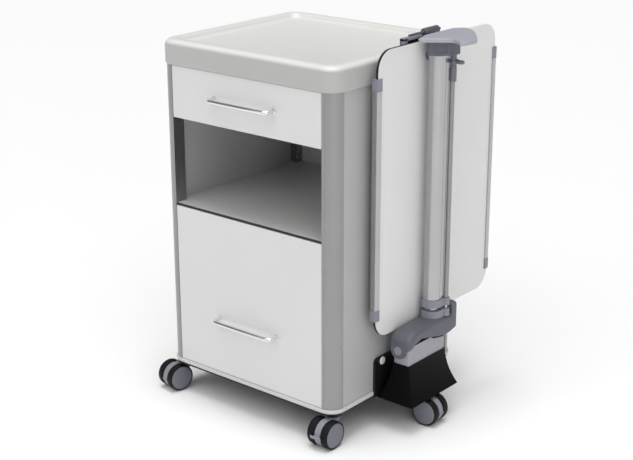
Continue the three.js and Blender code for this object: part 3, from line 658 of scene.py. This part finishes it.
def tread_profile(side):
    inner, outer = TREAD
    points = [(20, inner), (27.0, inner), (28.8, inner + 0.5), (29.8, inner + 1.8),
              (WHEEL_RADIUS, inner + 4), (WHEEL_RADIUS, outer - 7), (29.7, outer - 4),
              (28.9, outer - 2), (28.2, outer - 1.2), (DISC_RADIUS + 0.5, outer - 0.9),
              (DISC_RADIUS, outer - 1.8), (20, outer - 1.8)]
    return [(r, side * w) for r, w in points]


def disc_profile(side):
    outer = TREAD[1]
    points = [(0, outer), (6, outer - 0.05), (13, outer - 0.25), (19, outer - 0.6),
              (24.4, outer - 1.0), (26.0, outer - 1.5), (26.7, outer - 2.3), (26.7, outer - 4),
              (0, outer - 4)]
    return [(r, side * w) for r, w in points]


print("a tread has", len(tread_profile(1)), "points and a disc", len(disc_profile(1)))

# %% [markdown]
# A moulded hood runs between the wheels, and a swivel head stands on it. The hood is a round
# outline with a flat foot, pushed out along the axle. Each castor is drawn once, then turned
# into place with its own swivel and axle, which come from the joints.

# %% A whole castor
HOOD_HALF_WIDTH = 7.6
HOOD_GAP = 1.6
HOOD_FOOT = 7.0
ROUND_STEPS = 72


def castor(name, braked=False):
    swivel, wheel = joint_point(name + "_castor_swivel"), joint_point(name + "_wheels_roll")
    trail = Vector((wheel.x - swivel.x, wheel.y - swivel.y, 0))
    reach = trail.length
    place = Matrix.Translation((swivel.x, swivel.y, 0)) @ Matrix.Rotation(
        atan2(trail.y, trail.x), 4, "Z")
    axle = (reach, WHEEL_RADIUS)
    treads = joined(*[turned(tread_profile(s), "y", axle, ROUND_STEPS) for s in (-1, 1)])
    tyres = piece(name + "_treads", treads, RUBBER, name + "_wheels", turn=place)
    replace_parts(tyres, name + "_castor_wheels")
    discs = joined(turned([(3.8, -24), (3.8, 24)], "y", axle, 20),
                   *[turned(disc_profile(s), "y", axle, ROUND_STEPS) for s in (-1, 1)])
    piece(name + "_discs", discs, GREY, name + "_wheels", turn=place)

    half, radius = HOOD_HALF_WIDTH, WHEEL_RADIUS - HOOD_GAP
    low_angle = asin((WHEEL_RADIUS - HOOD_FOOT) / radius)
    outline = arc(*axle, radius, -low_angle, pi / 2 + 0.2, 34)
    shoulder = WHEEL_RADIUS * 2 + 0.6
    outline += [(9, shoulder), (-10, shoulder), (-11, 50), (-6, 38)]
    outline += arc(*axle, radius - 5, pi - 0.1, pi + low_angle - 0.25, 10)
    body = piece(name + "_hood", prism(outline, "y", -half, half), LILAC, name + "_castor", 1.6,
                 place)
    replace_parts(body, name + "_castor_body")
    ledge = rounded(reach + radius - 3, reach + radius + 1.2, -half + 0.4, half - 0.4, 1)
    piece(name + "_hood_ledge", prism(ledge, "z", 24.5, 30), LILAC, name + "_castor", 0.8, place)
    top = extent(name + "_castor_body")[1].z
    deck = top - STEM_LENGTH
    head = turned([(13, 58.5), (16.4, 60.4), (17, 61.2), (17, deck - 1), (16, deck)], "z", (0, 0))
    stem = turned([(5.5, deck - 1), (5.5, top - 0.5), (4.8, top)], "z", (0, 0), 24)
    piece(name + "_swivel_head", joined(head, stem), DARK_STEEL, name + "_castor", 0.3, place)
    if braked:
        tip = reach + WHEEL_RADIUS
        tab = [(tip + 1.2, 26.8, 0.5), (tip + 2.2, 33, 1.4), (tip + 4.8, 33, 1.2),
               (tip + 4.8, 30, 1), (tip + 3.6, 26.8, 0.5)]
        stalk = block((tip - 10, -6.4, 27), (tip + 2.6, 6.4, 32.4))
        pedal = joined(prism(softened(tab), "y", -13, 13), stalk)
        lever = piece(name + "_pedal", pedal, LILAC, name + "_brake_pedal", 0.8, place)
        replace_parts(lever, name + "_brake_pedal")


print("hood", 2 * HOOD_HALF_WIDTH, "mm wide")

# %% [markdown]
# Four castors carry the cabinet and one carries the table. The front right one has a brake
# pedal. A loop places them, so a change to the castor reaches all five.

# %% Five castors in place
for name in ("front_left", "front_right", "rear_left", "rear_right", "table"):
    castor(name, braked=name == "front_right")
print("five castors, wheel radius", WHEEL_RADIUS)

# %% [markdown]
# A bow handle is one bent chrome bar. A circle is carried along a path with two round bends, so
# the reflections run along the bar without a break. A curve with a round bevel would do it too,
# but a mesh needs no conversion for the export.

# %% Handles
BAR_RADIUS = 4.5
BAR_STEPS = 28


def bow(low, high, radius=BAR_RADIUS, bend=12.0):
    middle_z = (low.z + high.z) / 2
    left, right = low.x + radius, high.x - radius
    back, front = high.y, low.y + radius
    path = [(left, back), (left, front + bend)]
    path += arc(left + bend, front + bend, bend, pi, 1.5 * pi, 12)[1:]
    path += arc(right - bend, front + bend, bend, 1.5 * pi, 2 * pi, 12)
    path += [(right, back)]
    turns = [2 * pi * k / BAR_STEPS for k in range(BAR_STEPS)]
    rings = []
    for i, point in enumerate(path):
        before, after = Vector(path[max(i - 1, 0)]), Vector(path[min(i + 1, len(path) - 1)])
        way = (after - before).normalized()
        side = Vector((way.y, -way.x))
        rings.append([(point[0] + side.x * radius * cos(a), point[1] + side.y * radius * cos(a),
                       middle_z + radius * sin(a)) for a in turns])
    return skin(rings)


for drawer in ("top_drawer", "lower_drawer"):
    low, high = extent(drawer + "_handle")
    bar = piece(drawer + "_bow", bow(low, high), CHROME, drawer)
    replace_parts(bar, drawer + "_handle")
    for foot_x in (low.x + BAR_RADIUS, high.x - BAR_RADIUS):
        ferrule = turned([(5.6, -0.2), (5.9, -0.8), (5.6, -1.8), (4.6, -2.1)], "y",
                         (foot_x, (low.z + high.z) / 2), 32)
        piece(f"{drawer}_ferrule_{round(foot_x)}", ferrule, CHROME, drawer)
print("handle", round(high.x - low.x - 2 * BAR_RADIUS), "mm between feet")

# %% [markdown]
# Behind each front hangs a moulded tub with rounded corners and a rolled lip. It rides on steel
# bars that slide in fixed channels. The tub is one skin from its underside over the lip to its
# floor. The channels and bars keep their CAD shapes.

# %% Drawer tubs and runners
def tub(low, high, wall=3.0, corner=14.0):
    def ring(inset, z, radius):
        return [(x, y, z) for x, y in rounded(low.x + inset, high.x - inset, low.y + inset,
                                              high.y - inset, radius, 8)]
    lip = 4.0
    rings = [ring(9, low.z, 6), ring(5, low.z + 1.2, 10), ring(lip, low.z + 5, corner),
             ring(lip, high.z - 5, corner), ring(0.3, high.z - 4, corner + 2),
             ring(0, high.z - 1, corner + 2), ring(1, high.z, corner + 2),
             ring(lip + wall, high.z - 0.6, corner - wall),
             ring(lip + wall, low.z + 9, corner - wall),
             ring(lip + wall + 3, low.z + 5, 8), ring(lip + wall + 7, low.z + 4, 6)]
    return skin(rings)


for drawer in ("top_drawer", "lower_drawer"):
    low, high = extent(drawer + "_box")
    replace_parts(piece(drawer + "_tub", tub(low, high), TUB, drawer), drawer + "_box")
    for side in ("left", "right"):
        plain_node(f"{drawer}_{side}_runner", ZINC)
        plain_node(f"{drawer}_{side}_slide", ZINC)
print("tubs and runners done")

# %% [markdown]
# A black steel bracket stands on the right side and carries the post of the table. It is an
# upright plate with two round corners and a foot on the base. A white plug sits near its upper
# front corner, and a lathe shape gives the plug its low dome.

# %% Bracket and its cap
plate_low, plate_high = extent("side_bracket")
PLATE = 4.0
outline = rounded(plate_low.y, plate_high.y, plate_low.z, plate_high.z, [0.5, 0.5, 10, 10], 8)
plate = piece("bracket_plate", prism(outline, "x", plate_low.x, plate_low.x + PLATE), DARK_STEEL,
              "cabinet", 0.5)
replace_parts(plate, "side_bracket")
piece("bracket_foot", block((plate_low.x + PLATE, plate_low.y + 14, plate_low.z),
                            (plate_high.x, plate_high.y - 11, plate_low.z + PLATE)),
      DARK_STEEL, "cabinet", 0.5)
CAP_Y, CAP_Z = plate_low.y + 25, plate_high.z - 10
plug = turned([(8.6, 0), (8.6, 1.2), (7.8, 2.2), (4, 2.6), (0, 2.7)], "x", (CAP_Y, CAP_Z), 40)
piece("bracket_cap", plug, PLUG, "cabinet",
      turn=Matrix.Translation((plate_low.x + PLATE, 0, 0)))
print("bracket plate", PLATE, "mm thick")

# %% [markdown]
# A moulded skirt flares from the post to the bracket foot. It could be sculpted, but its plan
# is the same rounded rectangle at every height, and only its reach follows a curve. So one skin
# makes the outside and the inside.

# %% Skirt and post
foot_low, foot_high = extent("skirt_cover")
post_low, post_high = extent("table_post")
LIP = 1.8
FLARE = 1.8
SKIRT_STEPS = 22
POST_WALL = 3


def skirt_ring(t, wall):
    spread = (1 - t) ** FLARE
    rim = LIP + 0.4
    x0 = post_low.x - rim + (foot_low.x - post_low.x + rim) * spread + wall
    x1 = post_high.x + rim + (foot_high.x - post_high.x - rim) * spread - wall
    y0 = post_low.y - rim + (foot_low.y - post_low.y + rim) * spread + wall
    y1 = post_high.y + rim + (foot_high.y - post_high.y - rim) * spread - wall
    z = foot_low.z + (foot_high.z - foot_low.z) * t
    return [(x, y, z) for x, y in rounded(x0, x1, y0, y1, 3.5 - wall * 0.4, 5)]


steps = [i / SKIRT_STEPS for i in range(SKIRT_STEPS + 1)]
shell = skin([skirt_ring(t, 0) for t in steps] +
             [skirt_ring(t, 3 - 1.2 * t) for t in reversed(steps)], loop=True)
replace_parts(piece("skirt_moulding", shell, BLACK, "cabinet", 0.5), "skirt_cover")
outer = rounded(post_low.x, post_high.x, post_low.y, post_high.y, 3, 6)
inner = rounded(post_low.x + POST_WALL, post_high.x - POST_WALL, post_low.y + POST_WALL,
                post_high.y - POST_WALL, 1, 6)
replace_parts(piece("post_tube", pipe(outer, inner, "z", post_low.z, post_high.z), POST_PAINT,
                  "cabinet", 0.4), "table_post")
print("skirt reach", round(foot_high.x - plate_low.x, 1))

# %% [markdown]
# The tilting arm is one moulding: a boot over the post, a flat deck that holds the mast, and an
# upright block behind it. Its side is an outline with soft corners. An inset shrinks that
# outline, and this is how the outer face gets its big round edge.

# %% Side view of the arm
arm_low, arm_high = extent("tilt_arm")
pin_low, pin_high = extent("tilt_pin")
pin = joint_point("column_tilt")
ring_low = extent("lower_ring")[0]
TONGUE = 18.5
WALL = 3.5
front, rear = arm_low.y, arm_high.y
deck = ring_low.z - 0.3
ARM_BLOCK_DEPTH = 36
UPRIGHT_DEPTH = 20
rear_wall = rear - ARM_BLOCK_DEPTH
upright = rear - UPRIGHT_DEPTH
ARM_ROUND = 11.0


def arm_side(inset):
    """The arm's side view, drawn in from its edge by an inset."""
    e = inset
    return softened([
        (front + e, pin.z - 1 + e, 4), (front + 18, pin.z + 10 + e * 0.7, 14),
        (front + 45, pin.z + 17 + e * 0.7, 20), (front + 80, pin.z + 9 + e * 0.7, 24),
        (front + 105, pin.z + 1 + e * 0.7, 20), (rear_wall - 3, pin.z - 1 + e * 0.7, 12),
        (rear_wall + 9, pin.z + e * 0.5, 5), (rear - e * 0.4, pin.z + 7 + e * 0.3, 5),
        (rear - e * 0.4, arm_high.z - 2 - e * 0.4, 6), (rear - 8, arm_high.z - e * 0.4, 6),
        (upright + 4, arm_high.z - e * 0.4, 4), (upright, arm_high.z - 5 - e * 0.4, 3),
        (upright, deck - e * 0.8, 3), (ring_low.y - 7, deck - e * 0.8, 16),
        (front + 25 + e * 0.4, deck - 2 - e * 0.8, 14),
        (front + 7 + e * 0.7, deck - 9 - e * 0.7, 10), (front + e, deck - 19 - e * 0.4, 10),
    ])


print("arm deck at", round(deck, 1), "upright to", round(arm_high.z, 1))

# %% [markdown]
# The side view is stretched over stations from the inner face to the outer one. The room for
# the post is cut out of it, the front tongue is added, and then all its edges are rounded
# together. The vent is painted shadow: a near-black block under the outer edge, for the dark slot.

# %% Boot, tongue and painted vent shadow
VENT_FRONT, VENT_LENGTH = 232, 38
quarter = [(pi / 2) * i / 8 for i in range(9)]
stations = [(arm_low.x + 0.4, 2.0), (arm_low.x + 1.2, 0.6), (arm_low.x + 2.6, 0.0)]
stations += [(arm_high.x - ARM_ROUND * (1 - sin(a)), ARM_ROUND * (1 - cos(a))) for a in quarter]
sides = skin([[(x, y, z) for y, z in arm_side(e)] for x, e in stations])
boot = piece("arm_boot", sides, DARK_GREY, "tilt_arm", 0.8)
tongue = [(pin.x - TONGUE, deck - 22), (pin.x - TONGUE, pin.z)]
tongue += arc(pin.x, pin.z, TONGUE, pi, 2 * pi - 0.2, 26)
tongue += [(arm_high.x - 8, pin.z + 8), (arm_high.x - 8, deck - 22)]
room = block((arm_low.x - 5, front + WALL, 100), (arm_high.x - WALL, rear_wall, post_high.z + 9))
cut(boot, room)
cut(boot, prism(tongue, "y", front + 0.02, front + WALL), "UNION")
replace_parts(boot, "tilt_arm")
vent_rear = VENT_FRONT + VENT_LENGTH
# Painted shadow: a near-black block in the outer wall shows the dark vent slot.
vent = softened([(VENT_FRONT, pin.z + 7.5, 2), (VENT_FRONT + 4, pin.z + 9.5, 2),
                 (vent_rear, pin.z + 3.5, 2), (vent_rear - 4, pin.z + 1.5, 2)])
piece("arm_vent_painted_shadow", prism(vent, "x", arm_high.x - 6, arm_high.x - 0.6), SHADOW, "tilt_arm")
print("tongue radius", TONGUE)

# %% [markdown]
# The arm turns on a steel pin. A low round button covers its end on the front of the tongue.
# Both stay with the cabinet when the arm tilts.

# %% Pin and its button
PIN_ROD_RADIUS = 5.9
head = turned([(9.4, 0), (9.4, 1.2), (8.6, 2.1), (0, 2.4)], "y", (pin.x, pin.z), 40)
piece("pin_button", head, LILAC, "cabinet",
      turn=Matrix.Translation((0, front - 0.2, 0)) @ Matrix.Scale(-1, 4, (0, 1, 0)))
rod = turned([(PIN_ROD_RADIUS, pin_low.y + 3), (PIN_ROD_RADIUS, pin_high.y)], "y",
             (pin.x, pin.z), 32)
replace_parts(piece("pin_rod", rod, ZINC, "cabinet", 0.5), "tilt_pin")
print("pin height", round(pin.z, 1))

# %% [markdown]
# The column is an extruded sleeve that lifts on a thinner mast. Its front outer corner is one
# big curve that ends in a fine groove, then a flat. The same outline, shrunk or grown, makes
# the mast inside it and the two clamp rings round it.

# %% Column plan
sleeve_low, sleeve_high = extent("column_sleeve")
BIG_CORNER = 19.0
RING_PROUD = 3.0
MAST_INSET = 3.5
SMALL_CORNER = 5
GROOVE = 0.9


def column_plan(grow=0.0, groove=False):
    x0, x1 = sleeve_low.x - grow, sleeve_high.x + grow
    y0, y1 = sleeve_low.y - grow, sleeve_high.y + grow
    small = max(SMALL_CORNER + grow, 0.6)
    plan = rounded(x0, x1, y0, y1, [small, BIG_CORNER + grow, small, small], 20)
    if groove:
        at = next(i for i, (x, y) in enumerate(plan)
                  if y > y0 + BIG_CORNER + grow - 0.01 and x > x1 - 0.01)
        y = plan[at][1] + 0.5
        plan[at + 1:at + 1] = [(x1, y), (x1 - GROOVE, y + 0.1), (x1 - GROOVE, y + 1.1),
                               (x1, y + 1.2)]
    return plan


print("column", round(sleeve_high.x - sleeve_low.x), "x", round(sleeve_high.y - sleeve_low.y))

# %% [markdown]
# The groove lies in the outline, so it has real depth along the whole sleeve. Each clamp ring
# gets a round ear for the gas spring, joined on before its edges are rounded.

# %% Sleeve, mast and rings
sleeve = prism(column_plan(groove=True), "z", sleeve_low.z, sleeve_high.z)
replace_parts(piece("sleeve_extrusion", sleeve, ALUMINIUM, "column", 0.3, segments=2),
            "column_sleeve")
mast_low, mast_high = extent("inner_mast")
mast = prism(column_plan(-MAST_INSET), "z", mast_low.z, mast_high.z)
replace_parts(piece("mast_extrusion", mast, ALUMINIUM, "tilt_arm", 0.3, segments=2),
            "inner_mast")
rod_low, rod_high = extent("gas_rod")
gas_x, gas_y = (rod_low.x + rod_high.x) / 2, (rod_low.y + rod_high.y) / 2
ear_radius = extent("lower_ring")[1].y - gas_y
for node, body, name in (("lower_ring", "tilt_arm", "lower_clamp"),
                         ("upper_ring", "column", "upper_clamp")):
    low, high = extent(node)
    clamp = piece(name, prism(column_plan(RING_PROUD), "z", low.z, high.z), LILAC, body, 1.3)
    ear_plan = arc(gas_x, gas_y, ear_radius, 0, 2 * pi, 36)[:-1]
    ear = prism(ear_plan, "z", low.z + 0.02, high.z - 0.02)
    cut(clamp, ear, "UNION")
    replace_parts(clamp, node)
print("rings stand", RING_PROUD, "mm proud")

# %% [markdown]
# The gas spring stands behind the sleeve. The chrome rod is fixed to the arm, and the tube,
# with its end fitting and neck, lifts with the sleeve. All of it is turned work on the real
# one, so lathe shapes suit it.

# %% Gas spring
ROD_RADIUS = 2.9
rod = turned([(ROD_RADIUS, rod_low.z), (ROD_RADIUS, rod_high.z)], "z", (gas_x, gas_y), 28)
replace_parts(piece("spring_rod", rod, CHROME, "tilt_arm"), "gas_rod")
tube_low, tube_high = extent("gas_tube")
TUBE_RADIUS = 5.25
FITTING_RADIUS = 7.0
fitting_y = tube_high.y - FITTING_RADIUS
lever_low, lever_high = extent("release_lever")
fitting_high = lever_low.z - 3
FITTING_LENGTH = 33
fitting_low = fitting_high - FITTING_LENGTH
tube = turned([(4.6, tube_low.z), (TUBE_RADIUS, tube_low.z + 0.8), (TUBE_RADIUS, fitting_low + 4)],
              "z", (gas_x, gas_y), 40)
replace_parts(piece("spring_tube", tube, SPRING, "column"), "gas_tube")
NECK_RADIUS = 6.2
fitting = turned([(5.6, fitting_low), (6.8, fitting_low + 1), (FITTING_RADIUS, fitting_low + 2.5),
                  (FITTING_RADIUS, fitting_high - 5), (NECK_RADIUS, fitting_high - 4.6),
                  (NECK_RADIUS, fitting_high - 2.4), (FITTING_RADIUS, fitting_high - 2),
                  (FITTING_RADIUS, fitting_high - 0.6), (NECK_RADIUS, fitting_high),
                  (NECK_RADIUS, tube_high.z)], "z", (gas_x, fitting_y), 40)
piece("spring_fitting", fitting, GREY, "column")
print("spring at", round(gas_x, 1), round(gas_y, 1))

# %% [markdown]
# The lever at the top of the spring lets the column rise. It is a disc with a flat paddle. Both
# go into one mesh, and one bevel rounds them.

# %% Release lever
LEVER_DISC = 9.5
disc_y = sleeve_high.y + 0.3 + LEVER_DISC
disc = turned([(8.2, lever_low.z), (LEVER_DISC, lever_low.z + 1),
               (LEVER_DISC, lever_high.z - 1.2), (8.4, lever_high.z)], "z", (gas_x, disc_y), 40)
paddle = prism(rounded(gas_x + 2, lever_high.x, disc_y - 6.5, disc_y + 6.5, [1, 6, 6, 1]), "z",
               lever_low.z + 1, lever_high.z - 1)
lever = piece("lever_moulding", joined(disc, paddle), GREY, "release_lever", 1.2)
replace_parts(lever, "release_lever")
print("lever reach", round(lever_high.x - gas_x, 1))

# %% [markdown]
# The head of the column is a dark collar with a recessed face. Its plan is a polygon with soft
# corners, and the recess is a shallow window, turned to lie square to the slanted face before
# it is cut.

# %% Collar
low, high = extent("head_collar")
collar_low = sleeve_high.z + 0.3
plan = softened([(low.x, sleeve_low.y + 2, 2), (sleeve_low.x + 5, low.y, 4),
                 (high.x - 4, sleeve_low.y + 19, 6), (high.x, sleeve_low.y + 28, 6),
                 (high.x, high.y - 3, 4), (high.x - 6, high.y, 6), (low.x, high.y, 2)])
collar = piece("collar_moulding", prism(plan, "z", collar_low, high.z), DARK_GREY, "column", 1.2)
slant = Vector((high.x - 4 - sleeve_low.x - 5, sleeve_low.y + 19 - low.y, 0))
WINDOW_DEPTH = 1.2
opening = rounded(slant.length * 0.36, slant.length * 0.86, 6, high.z - collar_low - 8, 3)
window = prism(opening, "y", -4, WINDOW_DEPTH)
facing = Matrix.Translation((sleeve_low.x + 5, low.y, collar_low)) @ Matrix.Rotation(
    atan2(slant.y, slant.x), 4, "Z")
cut(collar, ([facing @ Vector(p) for p in window[0]], window[1]))
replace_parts(collar, "head_collar")
print("collar", round(high.z - collar_low, 1), "mm high")

# %% [markdown]
# Above the collar lies a wing-shaped plate with a hook-shaped notch at its front. A deep bevel
# gives it the soft rim of a casting, which a narrow one would not.

# %% Wing plate
WING_EDGE = 2.6
low, high = extent("wing_plate")
# Each point is x, y and the radius of its soft corner, in millimetres.
wing = softened([
    (low.x, 240, 4), (476, low.y, 5), (494, 217, 8), (530, 246, 14), (546, 236, 5), (561, 224, 7),
    (567, 240, 8), (high.x, 268, 22), (553, 293, 20), (522, 332, 24), (500, 352, 14),
    (482, high.y, 12), (low.x, 338, 14),
])
plate = piece("wing_casting", prism(wing, "z", low.z, high.z), WING, "column", WING_EDGE,
              segments=5)
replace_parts(plate, "wing_plate")
print("wing", round(high.x - low.x), "x", round(high.y - low.y))

# %% [markdown]
# The folded board hangs beside the column: compact laminate with white faces and a black core
# at its rim. The rear of the rim is sealed white. An extra point in the outline marks where
# that begins, and the rim faces beyond it take the finish of the board.

# %% Table board
BOARD_CORNER = 40
RIM_STEPS = 20
low, high = extent("table_board")
RIM_SEALED_FROM = 300.0
rim = rounded(low.y, high.y, low.z, high.z, BOARD_CORNER, RIM_STEPS)
rim.insert(3 * (RIM_STEPS + 1), (RIM_SEALED_FROM, high.z))
board = piece("board_panel", prism(rim, "x", low.x, high.x), TABLE, "table_board", 0.5,
              edge_look=CORE, flat_axis=0)
for face in board.data.polygons:
    if drawn(face.center).y > RIM_SEALED_FROM:
        face.material_index = 0
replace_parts(board, "table_board")
face_low, face_high = low.x, high.x
print("board", round(face_high - face_low, 1), "mm thick")

# %% [markdown]
# Aluminium channels clip over the long edges of the board, with a moulded cap at each end. All
# six share one C-shaped plan that grips the board, and a hair of room keeps it off the faces.

# %% Rails and caps
SLIT_EASE = 0.35
WEB = 3.2


def channel_plan(low, high, inward):
    """A C-shaped plan that grips the board; inward is +1 where the board lies at greater y."""
    near, far = (low.y, high.y) if inward > 0 else (high.y, low.y)
    web = near + inward * WEB
    return softened([(low.x, near, 2.6), (high.x, near, 2.6), (high.x, far, 0.8),
                     (face_high + SLIT_EASE, far, 0.3), (face_high + SLIT_EASE, web, 0.2),
                     (face_low - SLIT_EASE, web, 0.2), (face_low - SLIT_EASE, far, 0.3),
                     (low.x, far, 1.6)], 5)


for label, inward in (("front", 1), ("rear", -1)):
    for part, look, edge in (("rail", ALUMINIUM, 0.2), ("rail_top_cap", LILAC, 0.8),
                             ("rail_bottom_cap", LILAC, 0.8)):
        node = f"{label}_{part}"
        low, high = extent(node)
        shape = prism(channel_plan(low, high, inward), "z", low.z, high.z)
        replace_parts(piece(node + "_section", shape, look, "table_board", edge), node)
print("rails", round(extent("front_rail")[1].z - extent("front_rail")[0].z), "mm long")

# %% [markdown]
# A folded strap joins the board to the head of the column. It is bent from sheet, so three thin
# blocks with eased edges are nearer to it than one solid. A near-black sheet between its leaves
# is painted shadow for the recess there. The hub keeps its CAD shape.

# %% Hinge and hub
low, high = extent("hinge_strap")
plain_node("board_hub", DARK_GREY, 0.6)
STRAP_FRONT, STRAP_REAR = 190.0, 250.0
STRAP_FOOT = 793
STRAP_LEG = 11
STRAP_SHEET = 3
BARREL_FRONT, BARREL_REAR = 266, 314
strap_x = face_low - 12
BARREL_RADIUS = 8.0
hinge_z = high.z - BARREL_RADIUS
hinge_x = strap_x + 2.5
strap_top = hinge_z - 1
back = block((strap_x, STRAP_FRONT, STRAP_FOOT), (strap_x + STRAP_SHEET, STRAP_REAR, strap_top))
leg = block((strap_x + 0.01, STRAP_FRONT, STRAP_FOOT),
            (face_low - 0.3, STRAP_FRONT + STRAP_LEG, strap_top))
bar = block((strap_x + 0.02, STRAP_FRONT, strap_top - 5.5),
            (face_low - 0.3, STRAP_REAR, strap_top - 0.01))
hinge = piece("hinge_bracket", joined(back, leg, bar), LILAC, "table_board", 0.8)
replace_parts(hinge, "hinge_strap")
# Painted shadow: a thin near-black sheet in the recess between the leaves.
recess = block((strap_x + 3.05, STRAP_FRONT + STRAP_LEG, STRAP_FOOT + 2),
               (strap_x + 3.4, STRAP_REAR - 1, strap_top - 6))
piece("hinge_recess_painted_shadow", recess, SHADOW, "table_board")
print("strap", STRAP_REAR - STRAP_FRONT, "mm long")

# %% [markdown]
# The barrel lies along the top of the strap, on a thin pin. Both are lathe shapes. A small link
# joins them to the strap.

# %% Hinge barrel and pin
barrel = turned([(6.6, BARREL_FRONT), (BARREL_RADIUS, BARREL_FRONT + 1.6),
                 (BARREL_RADIUS, BARREL_REAR - 2), (6.6, BARREL_REAR)], "y", (hinge_x, hinge_z), 40)
piece("hinge_barrel", barrel, DARK_GREY, "table_board", 0.4)
hinge_rod = turned([(3, 218), (3, 322)], "y", (hinge_x, hinge_z), 24)
piece("hinge_pin", hinge_rod, DARK_GREY, "table_board", 0.4)
link = block((strap_x - 1, 244, hinge_z - 10), (strap_x + 4, 272, hinge_z))
piece("hinge_link", link, DARK_GREY, "table_board", 1.0)
print("hinge top", round(high.z, 1))

# %% [markdown]
# The stage begins with a pale floor. It reaches far, because a low camera would otherwise see
# past its edge.

# %% Floor
FLOOR = 30.0
corners = [(-FLOOR, -FLOOR, 0), (FLOOR, -FLOOR, 0), (FLOOR, FLOOR, 0), (-FLOOR, FLOOR, 0)]
floor_mesh = bpy.data.meshes.new("studio_floor")
floor_mesh.from_pydata(corners, [], [(0, 1, 2, 3)])
floor = bpy.data.objects.new("studio_floor", floor_mesh)
bpy.context.scene.collection.objects.link(floor)
pale = bpy.data.materials.new("studio_pale")
pale.use_nodes = True
paint = pale.node_tree.nodes["Principled BSDF"]
paint.inputs["Base Color"].default_value = (0.93, 0.93, 0.93, 1)
paint.inputs["Roughness"].default_value = 0.9
floor_mesh.materials.append(pale)
print("floor", 2 * FLOOR, "m wide")

# %% [markdown]
# The sky is weak and nearly even, and only fills the shadows. Rays from the camera see it
# white, so the background stays plain from every side. All other rays see the weak sky.

# %% Sky
world = bpy.data.worlds.new("studio_sky")
bpy.context.scene.world = world
world.use_nodes = True
sky = world.node_tree.nodes
direction = sky.new("ShaderNodeTexCoord")
height = sky.new("ShaderNodeSeparateXYZ")
shade = sky.new("ShaderNodeMapRange")
for socket, value in (("From Min", 0.05), ("From Max", 0.75), ("To Min", 0.26), ("To Max", 0.22)):
    shade.inputs[socket].default_value = value
wire = world.node_tree.links
wire.new(direction.outputs["Generated"], height.inputs[0])
wire.new(height.outputs["Z"], shade.inputs["Value"])
sky["Background"].inputs["Color"].default_value = (1, 1, 1, 1)
path, seen = sky.new("ShaderNodeLightPath"), sky.new("ShaderNodeMix")
seen.inputs[3].default_value = 1.0
wire.new(path.outputs["Is Camera Ray"], seen.inputs[0])
wire.new(shade.outputs["Result"], seen.inputs[2])
wire.new(seen.outputs[0], sky["Background"].inputs["Strength"])
print("sky nodes", len(sky))

# %% [markdown]
# A slanted light from far away lights the front, and one from straight above lights the level
# faces, so the tray is brighter than the drawers. Three weak soft lamps round the edges
# off.

# %% Lamps
def soft_light(name, place, size, power, target=(0, 0, 0.4)):
    light = bpy.data.lights.new(name, "AREA")
    light.energy, light.size = power, size
    lamp = bpy.data.objects.new(name, light)
    lamp.location = place
    lamp.rotation_euler = (Vector(target) - Vector(place)).to_track_quat("-Z", "Y").to_euler()
    bpy.context.scene.collection.objects.link(lamp)


soft_light("key", (-1.6, -3.2, 2.2), 1.6, 11)
soft_light("fill", (3.2, -0.6, 1.8), 2.0, 4)
soft_light("strip", (2.9, -2.3, 1.1), 0.45, 9)


def far_light(name, strength, spread, direction):
    """Light from far away, given by the direction it comes from."""
    light = bpy.data.lights.new(name, "SUN")
    light.energy, light.angle = strength, radians(spread)
    lamp = bpy.data.objects.new(name, light)
    lamp.rotation_euler = Vector(direction).to_track_quat("Z", "Y").to_euler()
    bpy.context.scene.collection.objects.link(lamp)


far_light("overhead", 1.6, 70, (0.25, -0.42, 1.0))
far_light("zenith", 1.15, 30, (0, 0, 1))
print("lamps", len(bpy.data.lights))

# %% [markdown]
# The camera stands to the front right, a little above the top, with a long lens, so upright
# edges stay nearly parallel. It is built from three directions, because a roll is then one
# small turn of two of them. A slight lens shift frames the object without turning the camera.

# %% Camera
azimuth, elevation, roll = radians(39.696), radians(19.2444), radians(-0.1304)
back = Vector((sin(azimuth) * cos(elevation), -cos(azimuth) * cos(elevation), sin(elevation)))
level = Vector((cos(azimuth), sin(azimuth), 0))
rise = back.cross(level)
right = level * cos(roll) + rise * sin(roll)
up = rise * cos(roll) - level * sin(roll)
pose = Matrix((right, up, back)).transposed().to_4x4()
pose.translation = corner_of_fronts + Vector((2.01583, -1.95958, 1.33841))
lens = bpy.data.cameras.new("studio_camera")
lens.lens, lens.sensor_width = 78.479, 36
lens.shift_x, lens.shift_y = -0.00119, 0.009945
camera = bpy.data.objects.new("studio_camera", lens)
camera.matrix_world = pose
bpy.context.scene.collection.objects.link(camera)
bpy.context.scene.camera = camera
bpy.context.scene.view_settings.view_transform = "Standard"
print("camera at", [round(v, 3) for v in pose.translation])
